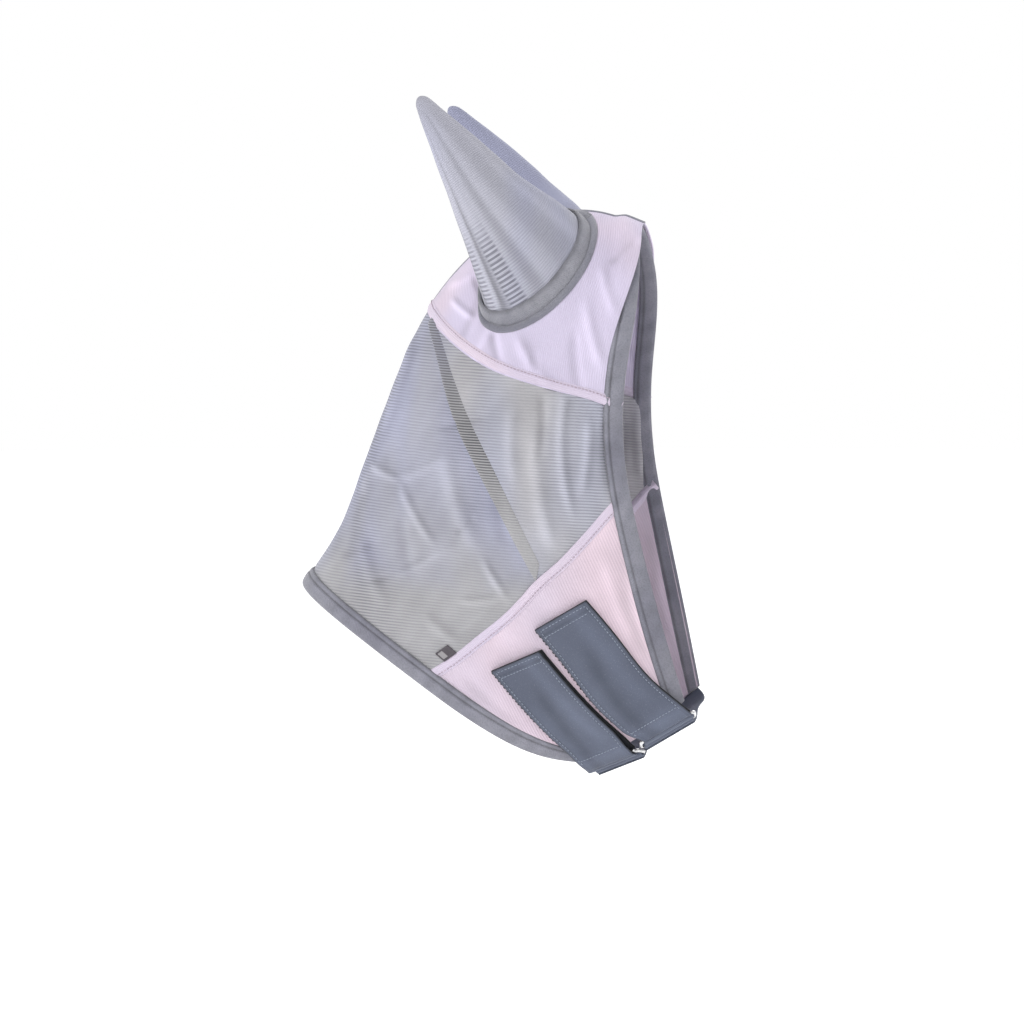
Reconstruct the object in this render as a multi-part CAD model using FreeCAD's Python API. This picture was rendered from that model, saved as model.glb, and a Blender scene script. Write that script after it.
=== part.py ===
"""Horse fly mask with ear covers, in the shape it takes on a horse's head.

The mask is a hood of sewn panels: a grey mesh over the face and the sides, a pink crown round
the ears, a pink cheek panel on each side, padded grey bindings on the open edges, and two
hook-and-loop straps that pass through wire rings under the jaw. Lengths are in millimetres.
The horse looks along -X, its left side faces -Y, and +Z is up. The origin is on the inside of
the crown, at the top of the poll.

Every panel is a patch of one surface, the form. A place on it is (s, v): s runs down the left
side from 0 at the middle of the face to 1 at the jaw, and down the right side to -1, and v runs
from 0 at the rear edge to 1 at the nose edge.
"""
import FreeCAD, Part
import os
from math import cos, pi, radians, sin, sqrt
from FreeCAD import Vector

# The form: four side-view outlines (x, z), half widths along v, and the share of a hoop above its
# widest place.
MIDDLE = [
    (36, -10), (0, 2), (-34, 2), (-72, -9), (-106, -35),
    (-137, -72), (-164, -126), (-196, -206), (-216, -256), (-248, -304),
]
REAR = [(36, -10), (41, -45), (34, -130), (35, -195), (47, -258), (63, -325), (79, -389)]
NOSE = [(-248, -304), (-216, -323), (-147, -369), (-91, -409), (-29, -439), (0, -443)]
JAW = [(79, -389), (40, -420), (0, -443)]
HALF_WIDTHS = [(0.0, 80), (0.25, 88), (0.5, 100), (0.75, 86), (1.0, 70)]
WIDEST_AT = [(0.0, 0.55), (0.5, 0.42), (1.0, 0.42)]
JAW_NARROWING = 0.4

# Seams, as (s, v) on the left side. The right side mirrors them.
CROWN_SEAM = [(0.0, 0.446), (0.1, 0.440), (0.27, 0.401), (0.40, 0.312), (0.49, 0.170), (0.53, 0.0)]
DART = [(0.0, 0.446), (0.1, 0.440), (0.32, 0.440), (0.45, 0.425), (0.56, 0.408), (0.70, 0.405)]
DART_STARTS_AT = 0.1
CHEEK_SEAM = [
    (0.65, 0.0), (0.70, 0.18), (0.71, 0.30), (0.70, 0.42), (0.675, 0.60), (0.63, 0.78), (0.56, 1.0),
]

# Layers, as distances from the form.
FABRIC = (0.0, 1.5)
PAD = (-1.5, 4.0)
FLAT_PAD = 1.5
BINDING_WIDTH = 16.0
PAD_FLATTENS = (0.66, 0.78)
STRAP_BASE = (1.8, 3.0)
LOOP_TAPE = (3.2, 3.8)
HOOK_TAPE = (4.1, 4.9)
FLAP = (5.0, 6.3)
LABEL = (1.7, 2.3)
RAISED_SEAM = (2.1, 3.3)
SEAM_GAP = 0.6

# Ears.
EAR_AT = (0.26, 0.20)
EAR_MAJOR = (0.66, 0.75)
EAR_RADII = (52.0, 26.0)
FLANGE_WIDTH = 6.0
EAR_FLANGE = (-1.5, 3.0)
CUFF_REACH = 0.10
CUFF = (0.5, 3.2)
EAR_TIP = Vector(-137, -58, 95)
EAR_BEND = Vector(-80, -92, 26)
EAR_HALF_WIDTH = (47.0, 4.6)
EAR_HALF_DEPTH = (29.0, 3.2)
EAR_WALL = 1.4
EAR_BLEND = 0.5
EAR_SLEEVE_RADIUS = 60.0
EAR_SWING_GAP = 1.8

# Poll binding and forelock slot, in v and in s.
SLOT = (0.15, 0.40)
POLL_HALF = 0.018
POLL_CLEAR = 0.006
SLOT_BULGE = 0.046
SLOT_HALF = 0.036
SLOT_SEAMS = (-110, -97, -84, -71, -57)

# Jaw straps: side-view centre lines from the free end down to the ring, and the direction across them.
STRAP_WIDTH = 45.0
STRAPS = {
    "rear": {"centre": [(-15, -317), (9, -348), (33, -381), (63, -408)], "across": (0.86, 0.51)},
    "front": {"centre": [(-52, -355), (-28, -385), (-3, -413), (20, -434.8)], "across": (0.91, 0.41)},
}
TAPE_SPAN = (0.03, 0.80)
WIRE_R = 1.6
STRAP_CLEAR = 1.2
WEBBING = 1.3
RING_REACH = 13.0
RING_SLOPE = 20.0
RING_SIDE_CLEAR = 0.8
LOOP_CLEAR = 0.4
TAB_SHARE = 0.38
TAB_SAG = 3.0
RING_CORNER = 3.0


def spline(points):
    """Natural cubic curve through the points, as a function of 0 to 1. It runs on straight past its ends."""
    n = len(points)
    knots = [0.0]
    for a, b in zip(points, points[1:]):
        knots.append(knots[-1] + sqrt(sum((x - y) ** 2 for x, y in zip(a, b))))
    knots = [k / knots[-1] for k in knots]
    h = [b - a for a, b in zip(knots, knots[1:])]
    bends = []
    for axis in range(len(points[0])):
        p = [q[axis] for q in points]
        diagonal, right = [1.0], [0.0]
        for i in range(1, n - 1):
            target = 6 * ((p[i + 1] - p[i]) / h[i] - (p[i] - p[i - 1]) / h[i - 1])
            ratio = h[i - 1] / diagonal[-1] if i > 1 else 0.0
            diagonal.append(2 * (h[i - 1] + h[i]) - ratio * (h[i - 1] if i > 1 else 0.0))
            right.append(target - ratio * right[-1])
        m = [0.0] * n
        for i in range(n - 2, 0, -1):
            m[i] = (right[i] - h[i] * m[i + 1]) / diagonal[i]
        bends.append(m)

    def inside(t):
        i = max(k for k in range(n - 1) if knots[k] <= t)
        a, b = (knots[i + 1] - t) / h[i], (t - knots[i]) / h[i]
        return tuple(
            a * points[i][k] + b * points[i + 1][k]
            + ((a ** 3 - a) * m[i] + (b ** 3 - b) * m[i + 1]) * h[i] ** 2 / 6
            for k, m in enumerate(bends)
        )

    def at(t):
        end = min(max(t, 0.0), 1.0)
        here = inside(end)
        if t == end:
            return here
        step = 1e-4 if t < 0 else -1e-4
        near = inside(end + step)
        return tuple(a + (b - a) * (t - end) / step for a, b in zip(here, near))

    return at


def steps(table, x):
    """Straight-line value between the table's (x, value) pairs."""
    for (x0, y0), (x1, y1) in zip(table, table[1:]):
        if x <= x1:
            return y0 + (y1 - y0) * max(x - x0, 0.0) / (x1 - x0)
    return table[-1][1]


def ease(x):
    """0 below 0, 1 above 1, smooth between."""
    x = min(max(x, 0.0), 1.0)
    return x * x * (3 - 2 * x)


middle, rear, nose, jaw = spline(MIDDLE), spline(REAR), spline(NOSE), spline(JAW)
crown_seam, dart, cheek_seam = spline(CROWN_SEAM), spline(DART), spline(CHEEK_SEAM)
half_width = spline(HALF_WIDTHS)


def form(s, v):
    """The point of the form at (s, v)."""
    side = -1.0 if s >= 0 else 1.0
    s = abs(s)
    widest = steps(WIDEST_AT, v)
    turn = widest * pi / 2 / (widest * pi / 2 + 1 - widest)
    if s <= turn:
        angle = pi / 2 * s / turn
        u, bulge = widest * (1 - cos(angle)), sin(angle)
    else:
        below = (s - turn) / (1 - turn)
        u, bulge = widest + (1 - widest) * below, 1 - JAW_NARROWING * below * below
    edges = zip(middle(v), jaw(v), rear(u), nose(u), middle(0), middle(1), jaw(0), jaw(1))
    x, z = (
        (1 - u) * m + u * j + (1 - v) * r + v * n
        - (1 - u) * (1 - v) * m0 - (1 - u) * v * m1 - u * (1 - v) * j0 - u * v * j1
        for m, j, r, n, m0, m1, j0, j1 in edges
    )
    return Vector(x, side * half_width(v)[1] * bulge, z)


def normal(s, v, d=1e-3):
    """The form's outward normal at (s, v)."""
    along_v = form(s, v + d) - form(s, v - d)
    along_s = form(s + d, v) - form(s - d, v)
    return along_v.cross(along_s).normalize()


def place(s, v, height):
    """The point that height above the form at (s, v)."""
    return form(s, v) + normal(s, v) * height


def lift(x, z, s=0.85, v=0.5, least=0.4):
    """The (s, v) on the left side where the form has that x and z, s being no less than least."""
    for _ in range(12):
        here, d = form(s, v), 1e-4
        ds, dv = (form(s + d, v) - here) / d, (form(s, v + d) - here) / d
        ex, ez = x - here.x, z - here.z
        det = ds.x * dv.z - ds.z * dv.x
        s += (ex * dv.z - ez * dv.x) / det
        v += (ds.x * ez - ds.z * ex) / det
        s, v = min(max(s, least), 1.2), min(max(v, -0.2), 1.2)
    return s, v


def skin(outer, inner):
    """Closed solid between two grids of points."""
    top, bottom = Part.BSplineSurface(), Part.BSplineSurface()
    top.interpolate(outer)
    bottom.interpolate(inner)
    u0, u1, v0, v1 = top.bounds()
    faces = [top.toShape(), bottom.toShape()]
    for u in (u0, u1):
        faces.append(Part.makeRuledSurface(top.uIso(u).toShape(), bottom.uIso(u).toShape()))
    for v in (v0, v1):
        faces.append(Part.makeRuledSurface(top.vIso(v).toShape(), bottom.vIso(v).toShape()))
    shell = Part.makeShell(faces)
    shell.sewShape()
    solid = Part.makeSolid(shell)
    if solid.Volume < 0:
        solid.reverse()
    return solid


def spread(first, last, count):
    """count numbers from first to last."""
    return [first + (last - first) * i / (count - 1) for i in range(count)]


def patch(where, low, high, rows=13, columns=9, gap=SEAM_GAP):
    """Solid over where(p, q), p and q from 0 to 1, between heights low and high above the form.

    low and high are numbers or functions of (s, v). gap is how far each edge is drawn in.
    """
    low = low if callable(low) else (lambda s, v, h=low: h)
    high = high if callable(high) else (lambda s, v, h=high: h)
    long_p = (form(*where(0, 0.5)) - form(*where(1, 0.5))).Length
    long_q = (form(*where(0.5, 0)) - form(*where(0.5, 1))).Length
    in_p, in_q = gap / 2 / max(long_p, 5), gap / 2 / max(long_q, 5)
    outer, inner = [], []
    for p in spread(in_p, 1 - in_p, rows):
        places = [where(p, q) for q in spread(in_q, 1 - in_q, columns)]
        outer.append([place(s, v, high(s, v)) for s, v in places])
        inner.append([place(s, v, low(s, v)) for s, v in places])
    return skin(outer, inner)


def four_sided(first, last, start, end):
    """(p, q) to (s, v) between four edges: first and last run with p, start and end with q."""
    def at(p, q):
        f, l, a, b = first(p), last(p), start(q), end(q)
        c = first(0), first(1), last(0), last(1)
        return tuple(
            (1 - q) * f[k] + q * l[k] + (1 - p) * a[k] + p * b[k]
            - (1 - p) * (1 - q) * c[0][k] - p * (1 - q) * c[1][k]
            - (1 - p) * q * c[2][k] - p * q * c[3][k]
            for k in (0, 1)
        )
    return at


def mirrored(shape):
    """The same shape on the other side of the head."""
    return shape.mirror(Vector(0, 0, 0), Vector(0, 1, 0))


def binding_share(s, edge):
    """How much of v the binding takes up at s, on the rear (edge 0) or the nose (edge 1)."""
    inside = 0.05 if edge == 0 else 0.95
    return 0.05 * BINDING_WIDTH / (form(s, inside) - form(s, edge)).Length


def rear_line(s):
    return s, binding_share(s, 0)


def nose_line(s):
    return s, 1 - binding_share(s, 1)


def meets(curve, line, low, high):
    """Share of the curve, between low and high, where it meets rear_line or nose_line."""
    def ahead(t):
        s, v = curve(t)
        return v - line(s)[1]
    for _ in range(40):
        half = (low + high) / 2
        if (ahead(low) > 0) == (ahead(half) > 0):
            low = half
        else:
            high = half
    return low


def part_of(curve, first, last):
    """The stretch of a curve between two of its shares, as a function of 0 to 1."""
    return lambda t: curve(first + (last - first) * t)


def along(line, first, last):
    """The stretch of rear_line or nose_line between two values of s."""
    return lambda t: line(first + (last - first) * t)


CROWN_END = meets(crown_seam, rear_line, 0.5, 1.0)
CHEEK_REAR = meets(cheek_seam, rear_line, 0.0, 0.5)
CHEEK_NOSE = meets(cheek_seam, nose_line, 0.5, 1.0)


def share_at(curve, axis, value):
    """Share of a rising curve where its s (axis 0) or v (axis 1) reaches a value."""
    low, high = 0.0, 1.0
    for _ in range(30):
        half = (low + high) / 2
        if curve(half)[axis] < value:
            low = half
        else:
            high = half
    return low


EAR_FOOT = form(*EAR_AT)
DART_ON_CROWN = share_at(crown_seam, 0, DART_STARTS_AT)
DART_ON_CHEEK = share_at(cheek_seam, 1, DART[-1][1])


def poll_half(v):
    """Half the width of the poll binding, in s."""
    x = (v - SLOT[0]) / (SLOT[1] - SLOT[0])
    return POLL_HALF + (SLOT_BULGE * sin(pi * x) ** 2 if 0 < x < 1 else 0.0)


def crown_place(p, q):
    """The left crown panel: p from the poll binding down to the seam's end, q from rear to front."""
    end = crown_seam(CROWN_END)[0] - 0.012
    v = rear_line(end * p)[1] * (1 - q) + crown_seam(share_at(crown_seam, 0, end * p))[1] * q
    s = end * p + poll_half(v) * (1 - p) ** 3
    front = crown_seam(share_at(crown_seam, 0, s))[1] - 0.008
    return s, rear_line(s)[1] * (1 - q) + front * q


def ear_rim(angle, grow=0.0):
    """A place round the left ear's opening, which is an ellipse in side view, made larger by grow."""
    x, z = EAR_MAJOR
    along, beside = (EAR_RADII[0] + grow) * cos(angle), (EAR_RADII[1] + grow) * sin(angle)
    return lift(EAR_FOOT.x + x * along + z * beside, EAR_FOOT.z + z * along - x * beside, *EAR_AT, 0.03)


def ear_prism(grow):
    """Solid plug through the crown, with the ear opening's outline made larger by grow."""
    out = normal(*EAR_AT)
    points = [form(*ear_rim(a, grow)) for a in spread(0, 2 * pi, 25)[:-1]]
    flat = [p - out * ((p - EAR_FOOT).dot(out) + 60) for p in points]
    curve = Part.BSplineCurve()
    curve.interpolate(flat, PeriodicFlag=True)
    return Part.Face(Part.Wire(curve.toShape())).extrude(out * 120)


def crown_panels():
    hole = ear_prism(FLANGE_WIDTH + 0.5)
    left = patch(crown_place, *FABRIC, rows=15, columns=13).cut(hole)
    return {"crown_left": left, "crown_right": mirrored(left)}


def ear_bands():
    """The padded band round each ear's foot: a flange on the crown and a cuff up the ear."""
    def around(p, q):
        return EAR_AT[0] + 0.21 * (2 * p - 1), EAR_AT[1] + 0.17 * (2 * q - 1)
    block = patch(around, *EAR_FLANGE, rows=13, columns=13, gap=0)
    flange = block.common(ear_prism(FLANGE_WIDTH)).cut(ear_prism(0.4))
    cuff = []
    room = (-9.0, CUFF[1] + 0.3)
    for turn in (0.0, pi):
        way = ear_wall(turn - 0.02, turn + pi + 0.02, lambda a, h: 0.0, lambda a, h: 0.3, room)
        flange = flange.cut(way)
        start, end = turn + 0.01, turn + pi - 0.01
        cuff.append(ear_wall(start, end, lambda a, h: 0.005, lambda a, h: CUFF_REACH, CUFF))
    left = Part.makeCompound(flange.Solids + cuff)
    return {"ear_band_left": left, "ear_band_right": mirrored(left)}


def poll_binding():
    """The strip over the poll seam and round the forelock slot."""
    def strip(p, q):
        v = rear_line(0)[1] + (crown_seam(0)[1] - rear_line(0)[1]) * p
        return (2 * q - 1) * (poll_half(v) - POLL_CLEAR), v
    body = patch(strip, -1.0, 3.0, rows=21, columns=7)
    wires = []
    for side in (1, -1):
        points = []
        for share in spread(0, 1, 11):
            v = SLOT[0] + 0.02 + (SLOT[1] - SLOT[0] - 0.04) * share
            here = form(side * SLOT_HALF * sin(pi * share), v)
            points.append(Vector(here.x, here.y if 0 < share < 1 else 0.0, -80))
        curve = Part.BSplineCurve()
        curve.interpolate(points)
        wires.append(curve.toShape())
    body = body.cut(Part.Face(Part.Wire(wires)).extrude(Vector(0, 0, 120)))
    for x in SLOT_SEAMS:
        body = body.cut(Part.makeBox(0.1, 60, 120, Vector(x, -30, -80)))
    return {"poll_binding": body}


def joined(curve, start, end):
    """The curve, eased so that it begins and ends exactly at two places."""
    first, last = curve(0), curve(1)
    return lambda t: tuple(
        c + (start[k] - first[k]) * (1 - t) + (end[k] - last[k]) * t for k, c in enumerate(curve(t))
    )


def side_meshes():
    top = part_of(crown_seam, DART_ON_CROWN + 0.03, CROWN_END - 0.008)
    bottom = part_of(cheek_seam, DART_ON_CHEEK, CHEEK_REAR)
    front = part_of(dart, share_at(dart, 0, DART_STARTS_AT) + 0.03, 1.0)
    back = along(rear_line, top(1)[0], bottom(1)[0])
    top, bottom = joined(top, front(0), back(0)), joined(bottom, front(1), back(1))
    left = patch(four_sided(top, bottom, front, back), *FABRIC, rows=15, columns=11, gap=1.5)
    return {"side_mesh_left": left, "side_mesh_right": mirrored(left)}


def face_mesh():
    high_s = cheek_seam(CHEEK_NOSE)[0]
    low_s = DART[-1][0]

    def top(t):
        s = (2 * t - 1) * low_s
        return s, dart(share_at(dart, 0, abs(s)))[1]

    left = part_of(cheek_seam, DART_ON_CHEEK, CHEEK_NOSE)
    left = joined(left, top(1), nose_line(high_s))
    right = lambda t: (-left(t)[0], left(t)[1])
    area = four_sided(top, along(nose_line, -high_s, high_s), right, left)
    return {"face_mesh": patch(area, *FABRIC, rows=25, columns=15, gap=1.2)}


def cheeks():
    first = part_of(cheek_seam, CHEEK_REAR, CHEEK_NOSE)
    jaw_rear, jaw_nose = rear_line(1.0)[1], nose_line(1.0)[1]
    last = lambda t: (1.0, jaw_rear + (jaw_nose - jaw_rear) * t)
    start = along(rear_line, first(0)[0], 1.0)
    end = along(nose_line, first(1)[0], 1.0)
    left = patch(four_sided(first, last, start, end), *FABRIC, rows=13, columns=11)
    return {"cheek_left": left, "cheek_right": mirrored(left)}


def pad_top(s, v):
    """The bindings' outer height: padded, and pressed flat under the straps."""
    a, b = PAD_FLATTENS
    return PAD[1] + (FLAT_PAD - PAD[1]) * ease((abs(s) - a) / (b - a))


def bindings():
    def rear_band(p, q):
        s = 2 * p - 1
        return s, q * rear_line(s)[1]
    def nose_band(p, q):
        s = 2 * p - 1
        return s, 1 + q * (nose_line(s)[1] - 1)
    return {
        "rear_binding": patch(rear_band, PAD[0], pad_top, rows=41, columns=4, gap=0.3),
        "nose_binding": patch(nose_band, PAD[0], pad_top, rows=37, columns=4, gap=0.3),
    }


def darts():
    """The raised seam down each side of the face."""
    line = part_of(dart, 0.16, 0.97)
    def strip(p, q):
        s, v = line(p)
        return s, v + (q - 0.5) * 0.012
    left = patch(strip, *RAISED_SEAM, rows=15, columns=4, gap=0)
    return {"dart_seam_left": left, "dart_seam_right": mirrored(left)}


def label():
    s, v = 0.590, 0.875
    spot = lambda p, q: (s + (p - 0.5) * 0.026, v + (q - 0.5) * 0.05)
    return {"side_label": patch(spot, *LABEL, rows=4, columns=4, gap=0)}


def bezier(a, b, c, t):
    return a * (1 - t) ** 2 + b * 2 * t * (1 - t) + c * t * t


def ear_frame(t):
    """The ear's axis at t, and its two cross directions there: towards its back and towards its side."""
    axis = bezier(EAR_FOOT, EAR_BEND, EAR_TIP, t)
    ahead = bezier(EAR_FOOT, EAR_BEND, EAR_TIP, t + 1e-3) - bezier(EAR_FOOT, EAR_BEND, EAR_TIP, t - 1e-3)
    ahead.normalize()
    back = Vector(EAR_MAJOR[0], 0, EAR_MAJOR[1])
    back = (back - ahead * back.dot(ahead)).normalize()
    return axis, back, back.cross(ahead)


def ear_cone(t, angle, height):
    """A point of a tapered ear that stands square on its axis."""
    axis, back, out = ear_frame(t)
    taper = (1 - t) ** 0.95
    wide = EAR_HALF_WIDTH[1] + (EAR_HALF_WIDTH[0] - EAR_HALF_WIDTH[1]) * taper + height
    deep = EAR_HALF_DEPTH[1] + (EAR_HALF_DEPTH[0] - EAR_HALF_DEPTH[1]) * taper + height
    return axis + back * (wide * cos(angle)) + out * (deep * sin(angle))


def ear_point(t, angle, height):
    """A point of the left ear's wall: t from the crown to the tip, angle round it from the back."""
    cone = ear_cone(t, angle, height)
    if t >= EAR_BLEND:
        return cone
    rim = place(*ear_rim(angle, height - 0.1), 0.3)
    return cone + (rim - ear_cone(0.0, angle, height)) * (1 - ease(t / EAR_BLEND))


def swing_radius(point):
    """Distance from the ear's swing axis, which runs along Y through the ear's foot."""
    return sqrt((point.x - EAR_FOOT.x) ** 2 + (point.z - EAR_FOOT.z) ** 2)


def ear_cut(angle, height, radius):
    """How far up the ear its wall crosses that distance from the swing axis."""
    low, high = 0.0, 1.0
    for _ in range(24):
        half = (low + high) / 2
        if swing_radius(ear_point(half, angle, height)) < radius:
            low = half
        else:
            high = half
    return low


def ear_wall(first_angle, last_angle, start, end, heights=(-EAR_WALL, 0.0), rows=9, columns=9):
    """Solid wall of the ear between two angles, from start(angle, height) to end(angle, height)."""
    grids = []
    for height in heights:
        grid = []
        for share in spread(0, 1, rows):
            row = []
            for a in spread(first_angle, last_angle, columns):
                first, last = start(a, height), end(a, height)
                row.append(ear_point(first + (last - first) * share, a, height))
            grid.append(row)
        grids.append(grid)
    return skin(grids[1], grids[0])


def ears():
    """Each ear is an outer and an inner panel, on a short sleeve that stays with the crown."""
    low, high = EAR_SLEEVE_RADIUS - EAR_SWING_GAP / 2, EAR_SLEEVE_RADIUS + EAR_SWING_GAP / 2
    seam = radians(0.6)
    made = {}
    for name, turn in (("outer", 0.0), ("inner", pi)):
        first, last = turn + seam, turn + pi - seam
        made[f"ear_{name}_left"] = ear_wall(
            first, last, lambda a, h: ear_cut(a, h, high), lambda a, h: 1.0, rows=13)
        made[f"ear_sleeve_{name}_left"] = ear_wall(
            first, last, lambda a, h: 0.0, lambda a, h: ear_cut(a, h, low))
    for name in list(made):
        made[name.replace("left", "right")] = mirrored(made[name])
    return made


class Strap:
    """One jaw strap: its path on the left cheek, and the frame of its ring."""

    def __init__(self, name):
        self.name = name
        self.centre = spline(STRAPS[name]["centre"])
        across = STRAPS[name]["across"]
        self.side = Vector(across[0], 0, across[1]).normalize()
        ends = [form(*self.at(1.0, w)) for w in spread(-STRAP_WIDTH / 2, STRAP_WIDTH / 2, 9)]
        self.across = (ends[-1] - ends[0]).normalize()
        out = normal(*self.at(1.0, 0.0))
        self.out = (out - self.across * out.dot(self.across)).normalize()
        self.down = self.out.cross(self.across)
        if self.down.z > 0:
            self.down = -self.down
        middle_of = (ends[0] + ends[-1]) / 2
        self.foot = middle_of + self.out * max((e - middle_of).dot(self.out) for e in ends)
        self.bar = self.foot + self.out * (STRAP_BASE[1] + STRAP_CLEAR + WIRE_R)
        reach = Vector(0, cos(radians(RING_SLOPE)), -sin(radians(RING_SLOPE)))
        self.reach = (reach - self.across * reach.dot(self.across)).normalize()
        self.tab_bar = self.bar + self.reach * RING_REACH

    def at(self, share, w):
        """The (s, v) at a share of the strap's length, w across from its centre line."""
        x, z = self.centre(share)
        return lift(x + self.side.x * w, z + self.side.z * w)

    def straight(self, share, w, height):
        """The same place on a strap that lies straight across, just clear of the cheek."""
        half = STRAP_WIDTH / 2
        ends = [place(*self.at(share, edge), height) for edge in (-half, half)]
        middle_of, lifted = (ends[0] + ends[1]) / 2, place(*self.at(share, 0.0), height)
        sag = max((lifted - middle_of).dot(self.out), 0.0)
        return middle_of + (ends[1] - ends[0]) * (w / STRAP_WIDTH) + self.out * sag

    def point(self, share, w, height):
        """A point of the strap. It follows the cheek, and lies straight across at the ring."""
        flat = ease((share - 0.75) / 0.25)
        here = place(*self.at(share, w), height)
        if flat == 0:
            return here
        at_ring = self.foot + self.across * w + self.out * height
        settle = (at_ring - self.straight(1.0, w, height)) * ease((share - 0.8) / 0.2)
        return here * (1 - flat) + (self.straight(share, w, height) + settle) * flat

    def rise(self, share):
        """How far the flap stands off its tape there, so that it clears the ring's wire."""
        need = STRAP_BASE[1] + 2 * (STRAP_CLEAR + WIRE_R) - FLAP[0]
        return need * ease((share - 0.78) / 0.16)

    def strip(self, first, last, low, high, width=STRAP_WIDTH, rises=False, rows=9):
        """Solid strip of the strap between two shares of its length and two heights."""
        grids = []
        for height in (low, high):
            grid = []
            for share in spread(first, last, rows):
                up = self.rise(share) if rises else 0.0
                grid.append([self.point(share, w, height + up) for w in spread(-width / 2, width / 2, 5)])
            grids.append(grid)
        return skin(grids[1], grids[0])

    def fold(self):
        """The half turn of webbing round the ring's wire."""
        inner = WIRE_R + STRAP_CLEAR
        ends = []
        for r in (inner, inner + WEBBING):
            ends.append([self.bar - self.out * r, self.bar + self.down * r, self.bar + self.out * r])
        arcs = [Part.Arc(*points).toShape() for points in ends]
        lines = [Part.makeLine(ends[0][k], ends[1][k]) for k in (0, 2)]
        face = Part.Face(Part.Wire(Part.__sortEdges__(arcs + lines)))
        face.translate(self.across * (-STRAP_WIDTH / 2))
        return face.extrude(self.across * STRAP_WIDTH)

    def ring(self):
        """Rectangle of round wire with rounded corners."""
        half = STRAP_WIDTH / 2 + RING_SIDE_CLEAR + WIRE_R
        side = self.across * half
        corners = [self.bar - side, self.bar + side, self.tab_bar + side, self.tab_bar - side]
        edges = []
        for i, here in enumerate(corners):
            after = corners[(i + 1) % 4]
            to_next, to_last = (after - here).normalize(), (corners[i - 1] - here).normalize()
            start, end = here + to_last * RING_CORNER, here + to_next * RING_CORNER
            bend = here + (to_next + to_last) * (RING_CORNER * (1 - 1 / sqrt(2)))
            edges.append(Part.Arc(start, bend, end).toShape())
            edges.append(Part.makeLine(end, after - to_next * RING_CORNER))
        path = Part.Wire(Part.__sortEdges__(edges))
        begin = path.OrderedEdges[0]
        first = begin.FirstParameter
        wire = Part.makeCircle(WIRE_R, begin.valueAt(first), begin.tangentAt(first))
        return path.makePipeShell([Part.Wire(wire)], True, True, 2)

    def tab(self):
        """The webbing on the right side: a loop round the ring's wire, then up the right cheek."""
        inner, outer = WIRE_R + LOOP_CLEAR, WIRE_R + LOOP_CLEAR + WEBBING
        base = self.tab_bar - self.across * (STRAP_WIDTH / 2)
        loop = Part.makeCylinder(outer, STRAP_WIDTH, base, self.across)
        loop = loop.cut(Part.makeCylinder(inner, STRAP_WIDTH + 2, base - self.across, self.across))
        grids = []
        for layer in (0, 1):
            paths = [self.tab_path(w, layer) for w in spread(-STRAP_WIDTH / 2, STRAP_WIDTH / 2, 7)]
            grids.append([[Vector(*path(p)) for path in paths] for p in spread(0, 1, 25)])
        return Part.makeCompound([loop, skin(grids[1], grids[0])])

    def tab_path(self, w, layer):
        """The tab's inner (layer 0) or outer (layer 1) line, w across, from the ring up the cheek."""
        reach_out = WIRE_R + LOOP_CLEAR + WEBBING
        below = self.reach.cross(self.across)
        if below.z > 0:
            below = -below
        start = self.tab_bar + self.across * w + self.reach * 0.6
        start = start + below * (reach_out + 0.1 + layer * WEBBING)
        height = STRAP_BASE[0] + 0.2 + layer * WEBBING
        cheek = []
        for back in spread(0.0, TAB_SHARE, 6):
            here = place(*self.at(0.97 - back, w), height)
            cheek.append(Vector(here.x, -here.y, here.z))
        drop = Vector(0, 0, -TAB_SAG)
        under = [start, start * 0.67 + cheek[0] * 0.33 + drop, start * 0.33 + cheek[0] * 0.67 + drop]
        return spline([tuple(k) for k in under + cheek])


def jaw_closures():
    made = {}
    for name in STRAPS:
        strap = Strap(name)
        low, high = TAPE_SPAN
        made[f"strap_base_{name}"] = strap.strip(0.0, 0.998, *STRAP_BASE)
        made[f"loop_tape_{name}"] = strap.strip(low, high, *LOOP_TAPE, width=STRAP_WIDTH - 4)
        made[f"hook_tape_{name}"] = strap.strip(low, high, *HOOK_TAPE, width=STRAP_WIDTH - 4)
        made[f"flap_{name}"] = strap.strip(0.0, 0.998, *FLAP, rises=True, rows=17)
        made[f"strap_fold_{name}"] = strap.fold()
        made[f"ring_{name}"] = strap.ring()
        made[f"ring_tab_{name}"] = strap.tab()
    return made


def main():
    os.makedirs("parts", exist_ok=True)
    panels = (crown_panels, side_meshes, face_mesh, cheeks, darts, label)
    edges = (ear_bands, poll_binding, bindings)
    for make in panels + edges + (ears, jaw_closures):
        for name, shape in make().items():
            if not shape.Solids or not shape.isValid():
                raise ValueError(f"{name} is not a valid solid")
            shape.exportStep(f"parts/{name}.step")


main()
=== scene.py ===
"""Looks for the horse fly mask with ear covers.

Each fabric panel is a patch of one surface, the form, as in the CAD. A place on it is (s, v): s
runs down the left side from 0 at the middle of the face to 1 at the jaw, and down the right side
to -1, and v runs from 0 at the rear edge to 1 at the nose edge. Driving lengths are in
millimetres and meshes are in metres.
"""

import bmesh
import bpy
import numpy as np
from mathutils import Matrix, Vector
from math import cos, pi, radians, sin


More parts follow.
